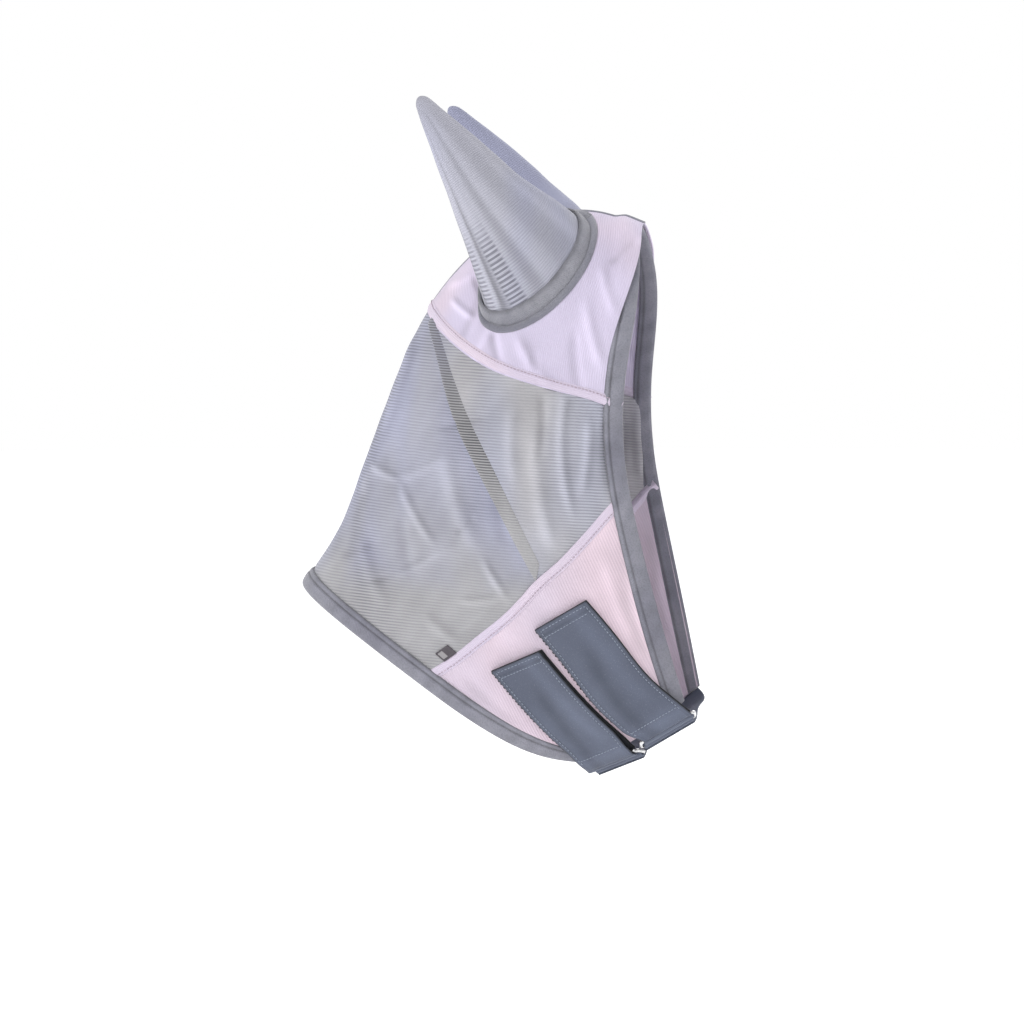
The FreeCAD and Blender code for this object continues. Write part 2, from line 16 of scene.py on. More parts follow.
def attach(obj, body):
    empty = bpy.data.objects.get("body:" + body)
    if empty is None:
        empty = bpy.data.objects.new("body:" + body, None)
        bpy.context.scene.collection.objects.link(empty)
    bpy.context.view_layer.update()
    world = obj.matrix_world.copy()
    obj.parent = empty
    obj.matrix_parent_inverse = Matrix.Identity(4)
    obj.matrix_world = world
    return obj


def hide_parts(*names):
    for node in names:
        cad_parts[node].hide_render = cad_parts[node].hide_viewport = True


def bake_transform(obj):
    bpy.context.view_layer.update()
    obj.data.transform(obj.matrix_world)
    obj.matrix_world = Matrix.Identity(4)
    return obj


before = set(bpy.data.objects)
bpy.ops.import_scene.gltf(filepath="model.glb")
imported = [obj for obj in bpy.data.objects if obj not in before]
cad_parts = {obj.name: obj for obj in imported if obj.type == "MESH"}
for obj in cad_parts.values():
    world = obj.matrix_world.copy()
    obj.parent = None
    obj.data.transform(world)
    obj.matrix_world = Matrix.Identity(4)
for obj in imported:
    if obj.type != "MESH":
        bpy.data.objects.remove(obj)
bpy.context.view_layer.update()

MM = 0.001
RIM_ROUNDING = 0.35
MESH_CLOTH = 1.0
PINK_CLOTH = 1.1
EAR_CLOTH = 1.1

# The form, as in the CAD: side-view outlines (x, z), half widths at shares of the way to the nose,
# and the share of a hoop above its widest place.
MIDDLE = [
    (36, -10), (0, 2), (-34, 2), (-72, -9), (-106, -35), (-137, -72), (-164, -126), (-196, -206),
    (-216, -256), (-248, -304),
]
REAR = [(36, -10), (41, -45), (34, -130), (35, -195), (47, -258), (63, -325), (79, -389)]
NOSE = [(-248, -304), (-216, -323), (-147, -369), (-91, -409), (-29, -439), (0, -443)]
JAW = [(79, -389), (40, -420), (0, -443)]
HALF_WIDTHS = [(0.0, 80), (0.25, 88), (0.5, 100), (0.75, 86), (1.0, 70)]
WIDEST_AT = [(0.0, 0.55), (0.5, 0.42), (1.0, 0.42)]
JAW_NARROWING = 0.4

# Seams, as (s, v) on the left side.
CROWN_SEAM = [(0.0, 0.446), (0.1, 0.440), (0.27, 0.401), (0.40, 0.312), (0.49, 0.170), (0.53, 0.0)]
DART = [(0.0, 0.446), (0.1, 0.440), (0.32, 0.440), (0.45, 0.425), (0.56, 0.408), (0.70, 0.405)]
DART_STARTS_AT = 0.1
SEAM_OVERLAP = 0.004
CHEEK_SEAM = [
    (0.65, 0.0), (0.70, 0.18), (0.71, 0.30), (0.70, 0.42), (0.675, 0.60), (0.63, 0.78), (0.56, 1.0),
]
BINDING_WIDTH = 16.0
PAD_FLATTENS = (0.66, 0.78)

# Ears.
EAR_AT = (0.26, 0.20)
EAR_MAJOR = (0.66, 0.75)
EAR_RADII = (52.0, 26.0)
EAR_TIP = np.array([-137.0, -58.0, 95.0])
EAR_BEND = np.array([-80.0, -92.0, 26.0])
EAR_HALF_WIDTH = (47.0, 4.6)
EAR_HALF_DEPTH = (29.0, 3.2)
EAR_BLEND = 0.5
EAR_DOME = 0.965
CUFF_WIDTH = 14.0
CUFF_BASE = 1.3
CUFF_HIGH = 3.0
CUFF_LOW = 1.2
EAR_UV_RADIUS = 18.0
# Lengthwise folds: the angle round the ear from its back, the half width in radians, and the height.
EAR_FOLDS = [
    (2.35, 0.16, 1.9), (2.66, 0.13, -2.6), (2.95, 0.12, 1.6), (1.3, 0.2, -1.1), (0.8, 0.2, 1.1),
    (1.9, 0.12, -0.8), (1.65, 0.1, 0.7),
]

# Poll binding and forelock slot.
SLOT = (0.15, 0.40)
POLL_HALF = 0.018
SLOT_BULGE = 0.046
SLOT_HALF = 0.036

# Jaw straps and rings, as in the CAD.
STRAP_WIDTH = 45.0
STRAPS = {
    "rear": {"centre": [(-15, -317), (9, -348), (33, -381), (63, -408)], "across": (0.86, 0.51)},
    "front": {"centre": [(-52, -355), (-28, -385), (-3, -413), (20, -434.8)], "across": (0.91, 0.41)},
}
STRAP_BASE = (1.8, 3.0)
LOOP_TAPE = (3.2, 3.8)
HOOK_TAPE = (4.1, 4.9)
FLAP = (5.0, 6.3)
TAPE_SPAN = (0.03, 0.80)
WIRE_R = 1.6
STRAP_CLEAR = 1.2
WEBBING = 1.3
RING_REACH = 13.0
RING_SLOPE = 20.0
LOOP_CLEAR = 0.4
TAB_SHARE = 0.38
TAB_SAG = 3.0
STRAP_LINES = 31
STITCH_INSET = 3.0
STRAP_END = 0.998
FLAP_LENGTH = 130.0
BASE_SHAPE = {"width": STRAP_WIDTH + 2}
TAPE_SHAPE = {"ragged": 0.7, "shift": -1.2}
HOOK_SHAPE = {"width": STRAP_WIDTH - 3}

# Soft creases in the mesh: from (x, z) to (x, z), half width and height. A height below 0 is a valley.
CREASES = [
    (-178, -299, -120, -271, 3.0, -2.8),
    (-182, -202, -151, -213, 3.5, 2.4),
    (-151, -213, -104, -192, 4.0, 2.6),
    (-151, -217, -120, -264, 4.0, 2.4),
    (-167, -295, -99, -264, 3.5, 2.6),
    (-115, -171, -74, -160, 3.0, -2.0),
    (-99, -254, -82, -240, 2.5, -2.0),
    (-99, -310, -53, -304, 3.0, 2.2),
    (-79, -274, -43, -325, 3.5, 2.4),
    (-97, -335, -53, -295, 2.5, 2.2),
    (-49, -311, -38, -280, 3.0, 2.0),
    (-146, -99, -167, -171, 6.0, 2.8),
    (-165, -197, -189, -225, 6.0, 2.2),
    (-112, -190, -84, -268, 7.0, 2.4),
    (-150, -240, -140, -290, 6.0, -1.8),
    (-190, -262, -165, -315, 6.0, 2.0),
    (-64, -218, -58, -262, 6.0, -1.8),
    (-39, -167, -22, -274, 6.0, 2.6),
    (-17, -129, -11, -243, 4.0, 2.4),
    (-28, -140, -30, -200, 4.0, -2.0),
    (9, -160, 4, -222, 4.0, 2.4),
    (20, -150, 22, -230, 4.0, -1.8),
    (-55, -150, -52, -215, 5.0, 1.8),
    (-130, -322, -88, -352, 5.0, 2.0),
    (-205, -278, -170, -262, 3.5, -1.8),
]
PLEATS = [
    (28, -262, 52, -362, 5.0, -2.2),
    (18, -272, 40, -340, 5.0, 1.6),
    (40, -290, 62, -368, 4.0, 1.4),
    (-75, -360, -30, -405, 6.0, 1.2),
    (-98, -372, -48, -415, 5.0, -1.2),
]
CROWN_FOLDS = [
    (-118, -58, -72, -36, 4.0, 2.0),
    (-95, -47, -77, -73, 3.0, -2.6),
    (-113, -67, -89, -83, 3.0, 1.8),
    (-98, -102, -80, -58, 4.0, -2.0),
    (-86, -118, -66, -78, 4.0, 1.8),
    (-54, -97, -21, -145, 4.5, 2.4),
    (-73, -91, -65, -119, 3.5, -2.0),
    (-40, -110, -30, -140, 4.0, -1.6),
    (-1, -67, 15, -123, 4.5, 1.8),
    (-8, -90, -2, -140, 4.0, -1.6),
    (39, -19, 19, -39, 3.0, -2.0),
    (10, -40, 24, -80, 4.0, 1.4),
]
EYE = {"at": (-106.0, -168.0), "radius": 30.0, "height": 4.0}


# ---------------------------------------------------------------- the form

def natural_spline(points):
    """Natural cubic curve through the points, at shares of its length, and straight past its ends."""
    p = np.array(points, float)
    knots = np.r_[0.0, np.cumsum(np.linalg.norm(np.diff(p, axis=0), axis=1))]
    knots /= knots[-1]
    h = np.diff(knots)
    n = len(p)
    system, right = np.eye(n), np.zeros_like(p)
    for i in range(1, n - 1):
        system[i, i - 1:i + 2] = h[i - 1], 2 * (h[i - 1] + h[i]), h[i]
        right[i] = 6 * ((p[i + 1] - p[i]) / h[i] - (p[i] - p[i - 1]) / h[i - 1])
    m = np.linalg.solve(system, right)

    def inside(t):
        i = np.clip(np.searchsorted(knots, t, side="right") - 1, 0, n - 2)
        a, b = ((knots[i + 1] - t) / h[i])[..., None], ((t - knots[i]) / h[i])[..., None]
        k = h[i][..., None] ** 2 / 6
        return a * p[i] + b * p[i + 1] + ((a ** 3 - a) * m[i] + (b ** 3 - b) * m[i + 1]) * k

    def at(t):
        t = np.asarray(t, float)
        end = np.clip(t, 0, 1)
        step = np.where(t < 0.5, 1e-4, -1e-4)
        slope = (inside(np.clip(end + step, 0, 1)) - inside(end)) / step[..., None]
        return inside(end) + slope * (t - end)[..., None]

    return at


def arrays(*values):
    """The values as float arrays of one shape."""
    return np.broadcast_arrays(*(np.asarray(value, float) for value in values))


def pair(a, b):
    """Two arrays side by side, as (s, v) places or as UVs."""
    return np.stack(arrays(a, b), axis=-1)


def grid_of(rows, columns):
    """Two arrays over a grid, one that grows with its rows and one that grows with its columns."""
    return np.meshgrid(rows, columns, indexing="ij")


def hump(x, width):
    """1 at 0, falling to nothing over about that width on each side."""
    return np.exp(-(x / width) ** 2)


def ease(x):
    """0 below 0, 1 above 1, smooth between."""
    x = np.clip(x, 0, 1)
    return x * x * (3 - 2 * x)


middle, rear, nose, jaw = (natural_spline(c) for c in (MIDDLE, REAR, NOSE, JAW))
crown_seam, dart, cheek_seam = (natural_spline(c) for c in (CROWN_SEAM, DART, CHEEK_SEAM))
half_width = natural_spline(HALF_WIDTHS)


def form(s, v):
    """Points of the form, in millimetres."""
    s, v = arrays(s, v)
    side = np.where(s >= 0, -1.0, 1.0)
    a = np.abs(s)
    widest = np.interp(v, *zip(*WIDEST_AT))
    turn = widest * pi / 2 / (widest * pi / 2 + 1 - widest)
    angle = pi / 2 * np.minimum(a / turn, 1)
    below = np.maximum(a - turn, 0) / (1 - turn)
    u = np.where(a <= turn, widest * (1 - np.cos(angle)), widest + (1 - widest) * below)
    bulge = np.where(a <= turn, np.sin(angle), 1 - JAW_NARROWING * below * below)
    U, V = u[..., None], v[..., None]
    xz = (
        (1 - U) * middle(v) + U * jaw(v) + (1 - V) * rear(u) + V * nose(u)
        - (1 - U) * (1 - V) * middle(0.0) - (1 - U) * V * middle(1.0)
        - U * (1 - V) * jaw(0.0) - U * V * jaw(1.0)
    )
    y = side * half_width(v)[..., 1] * bulge
    return np.stack([xz[..., 0], y, xz[..., 1]], axis=-1)


def unit(a):
    """Vectors of length 1."""
    return a / np.linalg.norm(a, axis=-1, keepdims=True)


def normal(s, v, d=1e-3):
    """The form's outward normals."""
    return unit(np.cross(form(s, v + d) - form(s, v - d), form(s + d, v) - form(s - d, v)))


def place(s, v, height):
    """Points that height above the form."""
    s, v = arrays(s, v)
    return form(s, v) + normal(s, v) * np.broadcast_to(height, s.shape)[..., None]


def on_panel(height, s, v, up):
    """Points that far above a panel's inner face, whose height above the form is given."""
    return place(s, v, height(s, v, form(s, v)) + up)


def lift(x, z, s=0.85, v=0.5, least=0.4):
    """The (s, v) on the left side where the form has those x and z."""
    x, z = arrays(x, z)
    s, v = np.full(x.shape, s), np.full(x.shape, v)
    for _ in range(14):
        here, d = form(s, v), 1e-4
        ds, dv = (form(s + d, v) - here) / d, (form(s, v + d) - here) / d
        ex, ez = x - here[..., 0], z - here[..., 2]
        det = ds[..., 0] * dv[..., 2] - ds[..., 2] * dv[..., 0]
        s = np.clip(s + (ex * dv[..., 2] - ez * dv[..., 0]) / det, least, 1.2)
        v = np.clip(v + (ds[..., 0] * ez - ds[..., 2] * ex) / det, -0.2, 1.2)
    return s, v


def binding_share(s, edge):
    """How much of v the binding takes up at s, on the rear (edge 0) or the nose (edge 1)."""
    inside = 0.05 if edge == 0 else 0.95
    return 0.05 * BINDING_WIDTH / np.linalg.norm(form(s, inside) - form(s, edge), axis=-1)


def share_at(curve, axis, value):
    """Shares of a rising curve where its s (axis 0) or v (axis 1) reaches the values."""
    t = np.linspace(-0.02, 1.02, 2001)
    return np.interp(value, curve(t)[:, axis], t)


def seam_v(curve, s):
    """The curve's v where its s is the value."""
    return curve(share_at(curve, 0, np.abs(s)))[..., 1]


def four_sided(first, last, start, end):
    """(p, q) arrays to (s, v) between four edges: first and last run with p, start and end with q."""
    def at(p, q):
        P, Q = p[..., None], q[..., None]
        corners = first(0.0), first(1.0), last(0.0), last(1.0)
        return (
            (1 - Q) * first(p) + Q * last(p) + (1 - P) * start(q) + P * end(q)
            - (1 - P) * (1 - Q) * corners[0] - P * (1 - Q) * corners[1]
            - (1 - P) * Q * corners[2] - P * Q * corners[3]
        )
    return at


def joined(curve, start, end):
    """The curve, eased so that it begins and ends exactly at two places."""
    first, last = curve(0.0), curve(1.0)

    def at(t):
        share = np.asarray(t, float)[..., None]
        return curve(t) + (start - first) * (1 - share) + (end - last) * share

    return at


# ---------------------------------------------------------------- wrinkles

def creases(points, table):
    """Height of the soft creases at each point, from its x and z."""
    height = np.zeros(points.shape[:-1])
    xz = points[..., [0, 2]]
    for x0, z0, x1, z1, wide, high in table:
        a, b = np.array([x0, z0]), np.array([x1, z1])
        along = (b - a) / np.linalg.norm(b - a)
        reach = np.linalg.norm(b - a) / 2
        off = xz - (a + b) / 2
        far = np.abs(off @ along)
        bow = 0.004 * (off @ along) ** 2 * (1 if x0 > x1 else -1)
        beside = off @ np.array([-along[1], along[0]]) + bow * 0.6
        ends = 1 - ease((far - reach * 0.5) / (reach * 0.7))
        height += 0.72 * high * hump(beside, wide) * ends
    return height


def crease_light(points, table):
    """Light on one side of each crease and dark on the other, from -1 to 1."""
    step = np.array([0.9, 0, 0.7])
    slope = (creases(points + step, table) - creases(points - step, table)) / 2
    return np.tanh(slope * 1.1 + creases(points, table) * 0.10)


def ripple(points, size, seed):
    """Smooth waves of about that size, from -1 to 1."""
    rng = np.random.default_rng(seed)
    total = np.zeros(points.shape[:-1])
    for _ in range(9):
        way = unit(rng.normal(size=3))
        turns = 2 * pi / (size * rng.uniform(0.7, 1.5))
        total += np.sin(points @ way * turns + rng.uniform(0, 2 * pi))
    return total / 4.5


def eye_bulge(points):
    """The room the mask leaves over each eye."""
    d = np.hypot(points[..., 0] - EYE["at"][0], points[..., 2] - EYE["at"][1])
    return EYE["height"] * hump(d, EYE["radius"]) * ease((np.abs(points[..., 1]) - 50) / 30)


# ---------------------------------------------------------------- mesh making

def lengths(grid, axis):
    """Running length along an axis of a grid of points."""
    step = np.linalg.norm(np.diff(grid, axis=axis), axis=-1)
    pad = [(0, 0), (0, 0)]
    pad[axis] = (1, 0)
    return np.pad(np.cumsum(step, axis=axis), pad)


def grid_uv(grid):
    """UVs of a grid of points: running lengths across it and along it."""
    return pair(lengths(grid, 1), lengths(grid, 0))


def new_object(name, points, faces, uv=None, material=None, shade=None):
    """Smooth mesh object from points and UVs in millimetres, with a shade per point."""
    mesh = bpy.data.meshes.new(name)
    mesh.from_pydata((np.asarray(points) * MM).tolist(), [], faces)
    mesh.polygons.foreach_set("use_smooth", [True] * len(mesh.polygons))
    if uv is not None:
        corner = np.empty(len(mesh.loops), dtype=np.int32)
        mesh.loops.foreach_get("vertex_index", corner)
        layer = mesh.uv_layers.new(name="UVMap")
        layer.data.foreach_set("uv", (np.asarray(uv)[corner] * MM).ravel())
    if shade is not None:
        tone = mesh.attributes.new("shade", "FLOAT", "POINT")
        tone.data.foreach_set("value", np.asarray(shade, float).ravel())
    mesh.validate()
    obj = bpy.data.objects.new(f"{name}.soft", mesh)
    bpy.context.scene.collection.objects.link(obj)
    if material:
        mesh.materials.append(material)
    return obj


def quads(rows, columns, wrap=False):
    """Faces of a grid of points. With wrap, the last column joins the first."""
    i, j = grid_of(np.arange(rows - 1), np.arange(columns if wrap else columns - 1))
    k = (j + 1) % columns
    here, above = i * columns, (i + 1) * columns
    return np.stack([here + j, here + k, above + k, above + j], axis=-1).reshape(-1, 4).tolist()


def rim_of(faces):
    """The edges that belong to one face only, in order."""
    edges = {}
    for face in faces:
        for a, b in zip(face, face[1:] + face[:1]):
            edges[(a, b)] = edges.get((b, a)) is None
            if not edges[(a, b)]:
                edges[(b, a)] = False
    return [edge for edge, single in edges.items() if single]


def rounded_rim(outer, inner, rim):
    """Points that stand out between the two sides of a sheet, by the index of the rim point."""
    away = np.zeros_like(outer)
    for a, b in rim:
        out = np.cross(outer[b] - outer[a], outer[a] - inner[a])
        size = np.linalg.norm(out)
        if size > 1e-9:
            away[a] += out / size
            away[b] += out / size
    found = {}
    for edge in rim:
        for k in edge:
            if k not in found:
                thick = np.linalg.norm(outer[k] - inner[k])
                size = max(np.linalg.norm(away[k]), 1e-9)
                found[k] = (outer[k] + inner[k]) / 2 + away[k] / size * thick * RIM_ROUNDING
    return found


def slab(name, outer, inner, uv=None, material=None, keep=None, shade=None):
    """Closed sheet between two grids of points, with rounded edges. keep says which cells stay."""
    rows, columns = outer.shape[:2]
    count = rows * columns
    if uv is None:
        uv = grid_uv(outer)
    outer, inner = outer.reshape(-1, 3), inner.reshape(-1, 3)
    cell = np.array(quads(rows, columns))
    if keep is not None:
        cell = cell[keep.reshape(-1)[cell].all(axis=1)]
    faces = cell.tolist() + (cell[:, ::-1] + count).tolist()
    rim = rim_of(cell.tolist())
    added = rounded_rim(outer, inner, rim)
    spot = {k: 2 * count + i for i, k in enumerate(added)}
    for a, b in rim:
        faces.append([b, a, spot[a], spot[b]])
        faces.append([spot[b], spot[a], a + count, b + count])
    points = np.concatenate([outer, inner, np.array(list(added.values()))])
    again = list(range(count)) * 2 + list(added)
    if shade is not None:
        shade = shade.reshape(-1)[again]
    return new_object(name, points, faces, uv.reshape(-1, 2)[again], material, shade)


def tube(name, points, material, shade=None, closed=False):
    """Closed tube through rings of points. It has ends, or with closed comes back to its start."""
    count, around = points.shape[:2]
    if closed:
        faces = [[k % (count * around) for k in face] for face in quads(count + 1, around, wrap=True)]
    else:
        faces = quads(count, around, wrap=True)
        faces += [list(range(around))[::-1], list(range((count - 1) * around, count * around))]
    uv = grid_uv(points).reshape(-1, 2)
    return tidy(new_object(name, points.reshape(-1, 3), faces, uv, material, shade))


def tidy(obj):
    """Drops loose points and makes the faces look outwards."""
    work = bmesh.new()
    work.from_mesh(obj.data)
    loose = [v for v in work.verts if not v.link_faces]
    bmesh.ops.delete(work, geom=loose, context="VERTS")
    bmesh.ops.recalc_face_normals(work, faces=work.faces)
    work.to_mesh(obj.data)
    work.free()
    return obj


def weld(obj):
    """Joins the points that lie on each other, where a sheet meets itself."""
    work = bmesh.new()
    work.from_mesh(obj.data)
    bmesh.ops.remove_doubles(work, verts=work.verts, dist=0.00004)
    work.to_mesh(obj.data)
    work.free()


def panel(
    name, where, height, thickness, rows, columns, material,
    uv_axes=None, keep=None, shade=None, cut=True,
):
    """Fabric panel over where(p, q), with its inner face height above the form."""
    p, q = grid_of(np.linspace(0, 1, rows), np.linspace(0, 1, columns))
    sv = where(p, q)
    s, v = sv[..., 0], sv[..., 1]
    base = form(s, v)
    out = normal(s, v)
    inner = base + out * np.broadcast_to(height(s, v, base), s.shape)[..., None]
    outer = inner + out * thickness
    uv = uv_axes(outer, s, v) if uv_axes else None
    mask = keep(outer, s, v) if keep else None
    tone = shade(outer, s, v) if shade else None
    obj = tidy(slab(name, outer, inner, uv, material, keep=mask, shade=tone))
    if cut:
        declare_sheet(outer, mask)
    return obj


def declare_sheet(grid, mask=None):
    """Works out how large the cloth is when it's cut flat; the sizes are not kept."""
    a, b = grid[1:, :-1] - grid[:-1, :-1], grid[:-1, 1:] - grid[:-1, :-1]
    cell = np.linalg.norm(np.cross(a, b), axis=-1)
    if mask is not None:
        cell = cell * mask[1:, 1:]
    area = cell.sum()
    length = np.median(lengths(grid, 0)[-1])
    width = max(lengths(grid, 1)[:, -1].max(), area / length * 1.01)


STITCH_LENGTH = 2.3
STITCH_WIDTH = 0.7
# Shape of a stitch: share of its length, height and share of its width.
STITCH_SHAPE = ((0.0, -0.2, 0.6), (0.25, 0.35, 1.0), (0.75, 0.35, 1.0), (1.0, -0.2, 0.6))


def stitch_row(name, path, normals, material, pitch=3.2):
    """A row of sewn stitches along a path, each a small rounded bar."""
    run = np.r_[0, np.cumsum(np.linalg.norm(np.diff(path, axis=0), axis=1))]
    points, faces = [], []
    for k in range(int(run[-1] // pitch)):
        ends = []
        for t in (k * pitch + 0.3, k * pitch + 0.3 + STITCH_LENGTH):
            ends.append(np.array([np.interp(t, run, path[:, a]) for a in range(3)]))
        up = unit(np.array([np.interp(k * pitch, run, normals[:, a]) for a in range(3)]))
        along = unit(ends[1] - ends[0])
        side = np.cross(up, along) * STITCH_WIDTH / 2
        start = len(points)
        for share, rise, wide in STITCH_SHAPE:
            at = ends[0] + (ends[1] - ends[0]) * share + up * rise
            points += [at - side * wide, at + up * 0.12, at + side * wide]
        for a in range(3):
            o = start + a * 3
            faces += [[o, o + 1, o + 4, o + 3], [o + 1, o + 2, o + 5, o + 4], [o + 2, o, o + 3, o + 5]]
        faces += [[start, start + 2, start + 1], [start + 9, start + 10, start + 11]]
    return tidy(new_object(name, points, faces, None, material))


def both_sides(make, name, *nodes, rides="mask", slot):
    """Makes the left piece and its mirror image, and ties each to its body and CAD nodes."""
    made = []
    for side in ("left", "right"):
        obj = make(f"{name}_{side}")
        if side == "right":
            mirror(obj)
        if rides:
            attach(obj, rides)
        if nodes:
            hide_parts(*[n.format(side=side) for n in nodes])
        made.append(obj)
    return made


def mirror(obj):
    """Mirrors a mesh to the other side of the head."""
    for vertex in obj.data.vertices:
        vertex.co.y = -vertex.co.y
    obj.data.flip_normals()


def tie(obj, body, slot, *nodes):
    """Ties a piece to its body and hides the CAD nodes it stands for. Its slot is not used."""
    if body:
        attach(obj, body)
    if nodes:
        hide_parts(*nodes)
    return obj


# ---------------------------------------------------------------- materials

class Shader:
    """A node material under construction."""

    def __init__(self, name):
        self.material = bpy.data.materials.new(name)
        self.material.use_nodes = True
        self.tree = self.material.node_tree
        self.surface = self.tree.nodes["Principled BSDF"]

    def node(self, kind, inputs=None, **settings):
        """A new node with its inputs set or linked."""
        n = self.tree.nodes.new(kind)
        for key, value in settings.items():
            setattr(n, key, value)
        for key, value in (inputs or {}).items():
            self.put(n.inputs[key], value)
        return n

    def put(self, socket, value):
        """Links or sets one input."""
        if isinstance(value, bpy.types.NodeSocket):
            self.tree.links.new(value, socket)
        else:
            socket.default_value = value

    def math(self, operation, *values):
        """One sum on values or sockets."""
        n = self.node("ShaderNodeMath", operation=operation)
        for i, value in enumerate(values):
            self.put(n.inputs[i], value)
        return n.outputs[0]

    def uv(self):
        """The two UV axes, in metres."""
        place_node = self.node("ShaderNodeUVMap", uv_map="UVMap")
        split = self.node("ShaderNodeSeparateXYZ", {0: place_node.outputs[0]})
        return split.outputs[0], split.outputs[1]

    def wave(self, coordinate, pitch, wobble=0.0):
        """0 to 1 stripes at a pitch in metres."""
        phase = self.math("MULTIPLY_ADD", coordinate, 2 * pi / pitch, wobble)
        return self.math("MULTIPLY_ADD", self.math("SINE", phase), 0.5, 0.5)

    def noise(self, scale, detail=2.0, stretch=(1, 1, 1), seed=0.0):
        """Noise fixed to the piece, from 0 to 1."""
        place_node = self.node("ShaderNodeTexCoord")
        shift = (seed, seed * 0.7, seed * 1.3)
        inputs = {0: place_node.outputs["Object"], 1: shift, 3: stretch}
        mapping = self.node("ShaderNodeMapping", inputs)
        inputs = {"Vector": mapping.outputs[0], "Scale": scale, "Detail": detail}
        return self.node("ShaderNodeTexNoise", inputs).outputs[0]

    def range(self, value, low, high, to_low=0.0, to_high=1.0):
        """The value, brought smoothly from between low and high to between two others."""
        inputs = {0: value, 1: low, 2: high, 3: to_low, 4: to_high}
        return self.node("ShaderNodeMapRange", inputs, interpolation_type="SMOOTHSTEP").outputs[0]

    def mix(self, share, a, b):
        """From colour a to colour b by a share."""
        n = self.node("ShaderNodeMix", data_type="RGBA", blend_type="MIX")
        self.put(n.inputs[0], share)
        for socket, value in ((n.inputs[6], a), (n.inputs[7], b)):
            self.put(socket, (*value, 1.0) if isinstance(value, tuple) else value)
        return n.outputs[2]

    def shaded(self, color, strength=1.0):
        """The colour, darker or lighter by the mesh's painted light and shade, and random tone."""
        tone = self.node("ShaderNodeAttribute", attribute_name="shade").outputs["Fac"]
        factor = self.math("MULTIPLY_ADD", tone, strength, 1.0)
        inputs = {0: color, "Scale": factor}
        return self.node("ShaderNodeVectorMath", inputs, operation="SCALE").outputs[0]

    def bump(self, height, distance, under=None):
        """Fine relief, on top of another one where that is given."""
        n = self.node("ShaderNodeBump", {"Height": height, "Distance": distance, "Strength": 1.0})
        if under is not None:
            self.put(n.inputs["Normal"], under)
        return n.outputs[0]

    def finish(self, color, normal_out=None, roughness=0.85, sheen=0.0, **sockets):
        """Joins everything to the surface and returns the material."""
        self.put(self.surface.inputs["Base Color"], color)
        if normal_out is not None:
            self.put(self.surface.inputs["Normal"], normal_out)
        self.put(self.surface.inputs["Roughness"], roughness)
        self.surface.inputs["Sheen Weight"].default_value = sheen
        self.surface.inputs["Sheen Roughness"].default_value = 0.5
        for key, value in sockets.items():
            self.put(self.surface.inputs[key.replace("_", " ")], value)
        return self.material


TINT_SCALE = 9.0
KNIT_RELIEF = 0.00025


def knit(
    name, light, warm, groove, pitch, strength, ribs="y", stretch=(1, 1, 0.35),
    sheer=0.0, seed=0.0, warm_below=None, bars=None, fade=None,
):
    """Ribbed knit or mesh: ribs at a pitch, loops between them, broad tints, and holes in the grooves.

    warm_below is the height in metres below which the warm tint takes over. bars is (place, half
    width, reach) in UV metres of a run of near-black bars where the knit is stretched open: painted
    shade of the hollow seen through it. fade is the two heights in metres between which the ribs'
    contrast falls off downwards.
    """
    k = Shader(name)
    x, y = k.uv()
    along, beside = (y, x) if ribs == "y" else (x, y)
    wobble = k.math("MULTIPLY", k.noise(60, 1.0, seed=seed + 3), 2.2)
    rib = k.wave(along, pitch, wobble)
    loop = k.wave(beside, pitch * 0.6, k.math("MULTIPLY", rib, 1.6))
    tint = k.range(k.noise(TINT_SCALE, 2.0, stretch, seed), 0.40, 0.62)
    spot = k.node("ShaderNodeSeparateXYZ", {0: k.node("ShaderNodeTexCoord").outputs["Object"]})
    if warm_below is not None:
        low = k.range(spot.outputs[2], warm_below, warm_below + 0.05, 1.0, 0.0)
        tint = k.math("MAXIMUM", tint, low)
    color = k.mix(tint, light, warm)
    fine = k.noise(900, 2.0, seed=seed + 5)
    color = k.mix(k.math("MULTIPLY", fine, 0.22), color, groove)
    clear = k.range(k.noise(TINT_SCALE * 1.7, 2.0, stretch, seed + 8), 0.42, 0.66, *strength)
    depth = k.math("MULTIPLY", k.math("SUBTRACT", 1.0, rib), clear)
    if fade is not None:
        depth = k.math("MULTIPLY", depth, k.range(spot.outputs[2], *fade, 0.3, 1.0))
    color = k.mix(depth, color, groove)
    if bars is not None:
        # Painted shade: near-black bars where the knit is stretched open, for the dark hollow behind
        # it.
        at, half, reach = bars
        inside = k.range(k.math("ABSOLUTE", k.math("SUBTRACT", x, at)), half * 0.6, half, 1.0, 0.0)
        from_front = k.math("ABSOLUTE", k.math("SUBTRACT", x, at + 0.0125))
        front = k.range(from_front, half * 0.4, half * 0.8, 0.8, 0.0)
        inside = k.math("MAXIMUM", inside, front)
        inside = k.math("MULTIPLY", inside, k.range(y, reach * 0.6, reach, 1.0, 0.0))
        open_rows = k.range(k.wave(y, 0.0030), 0.35, 0.65, 0.65, 0.0)
        color = k.mix(k.math("MULTIPLY", inside, open_rows), color, (0.07, 0.07, 0.09))
    color = k.shaded(color)
    height = k.math("ADD", k.math("MULTIPLY", rib, 0.75), k.math("MULTIPLY", loop, 0.25))
    normal_out = k.bump(fine, 0.0001, under=k.bump(height, KNIT_RELIEF))
    extra = {}
    if sheer:
        holes = k.math("MULTIPLY", k.math("SUBTRACT", 1.0, loop), depth)
        extra["Alpha"] = k.math("SUBTRACT", 1.0, k.math("MULTIPLY", holes, sheer))
    return k.finish(color, normal_out, roughness=k.range(rib, 0.0, 1.0, 0.95, 0.8), sheen=0.15, **extra)


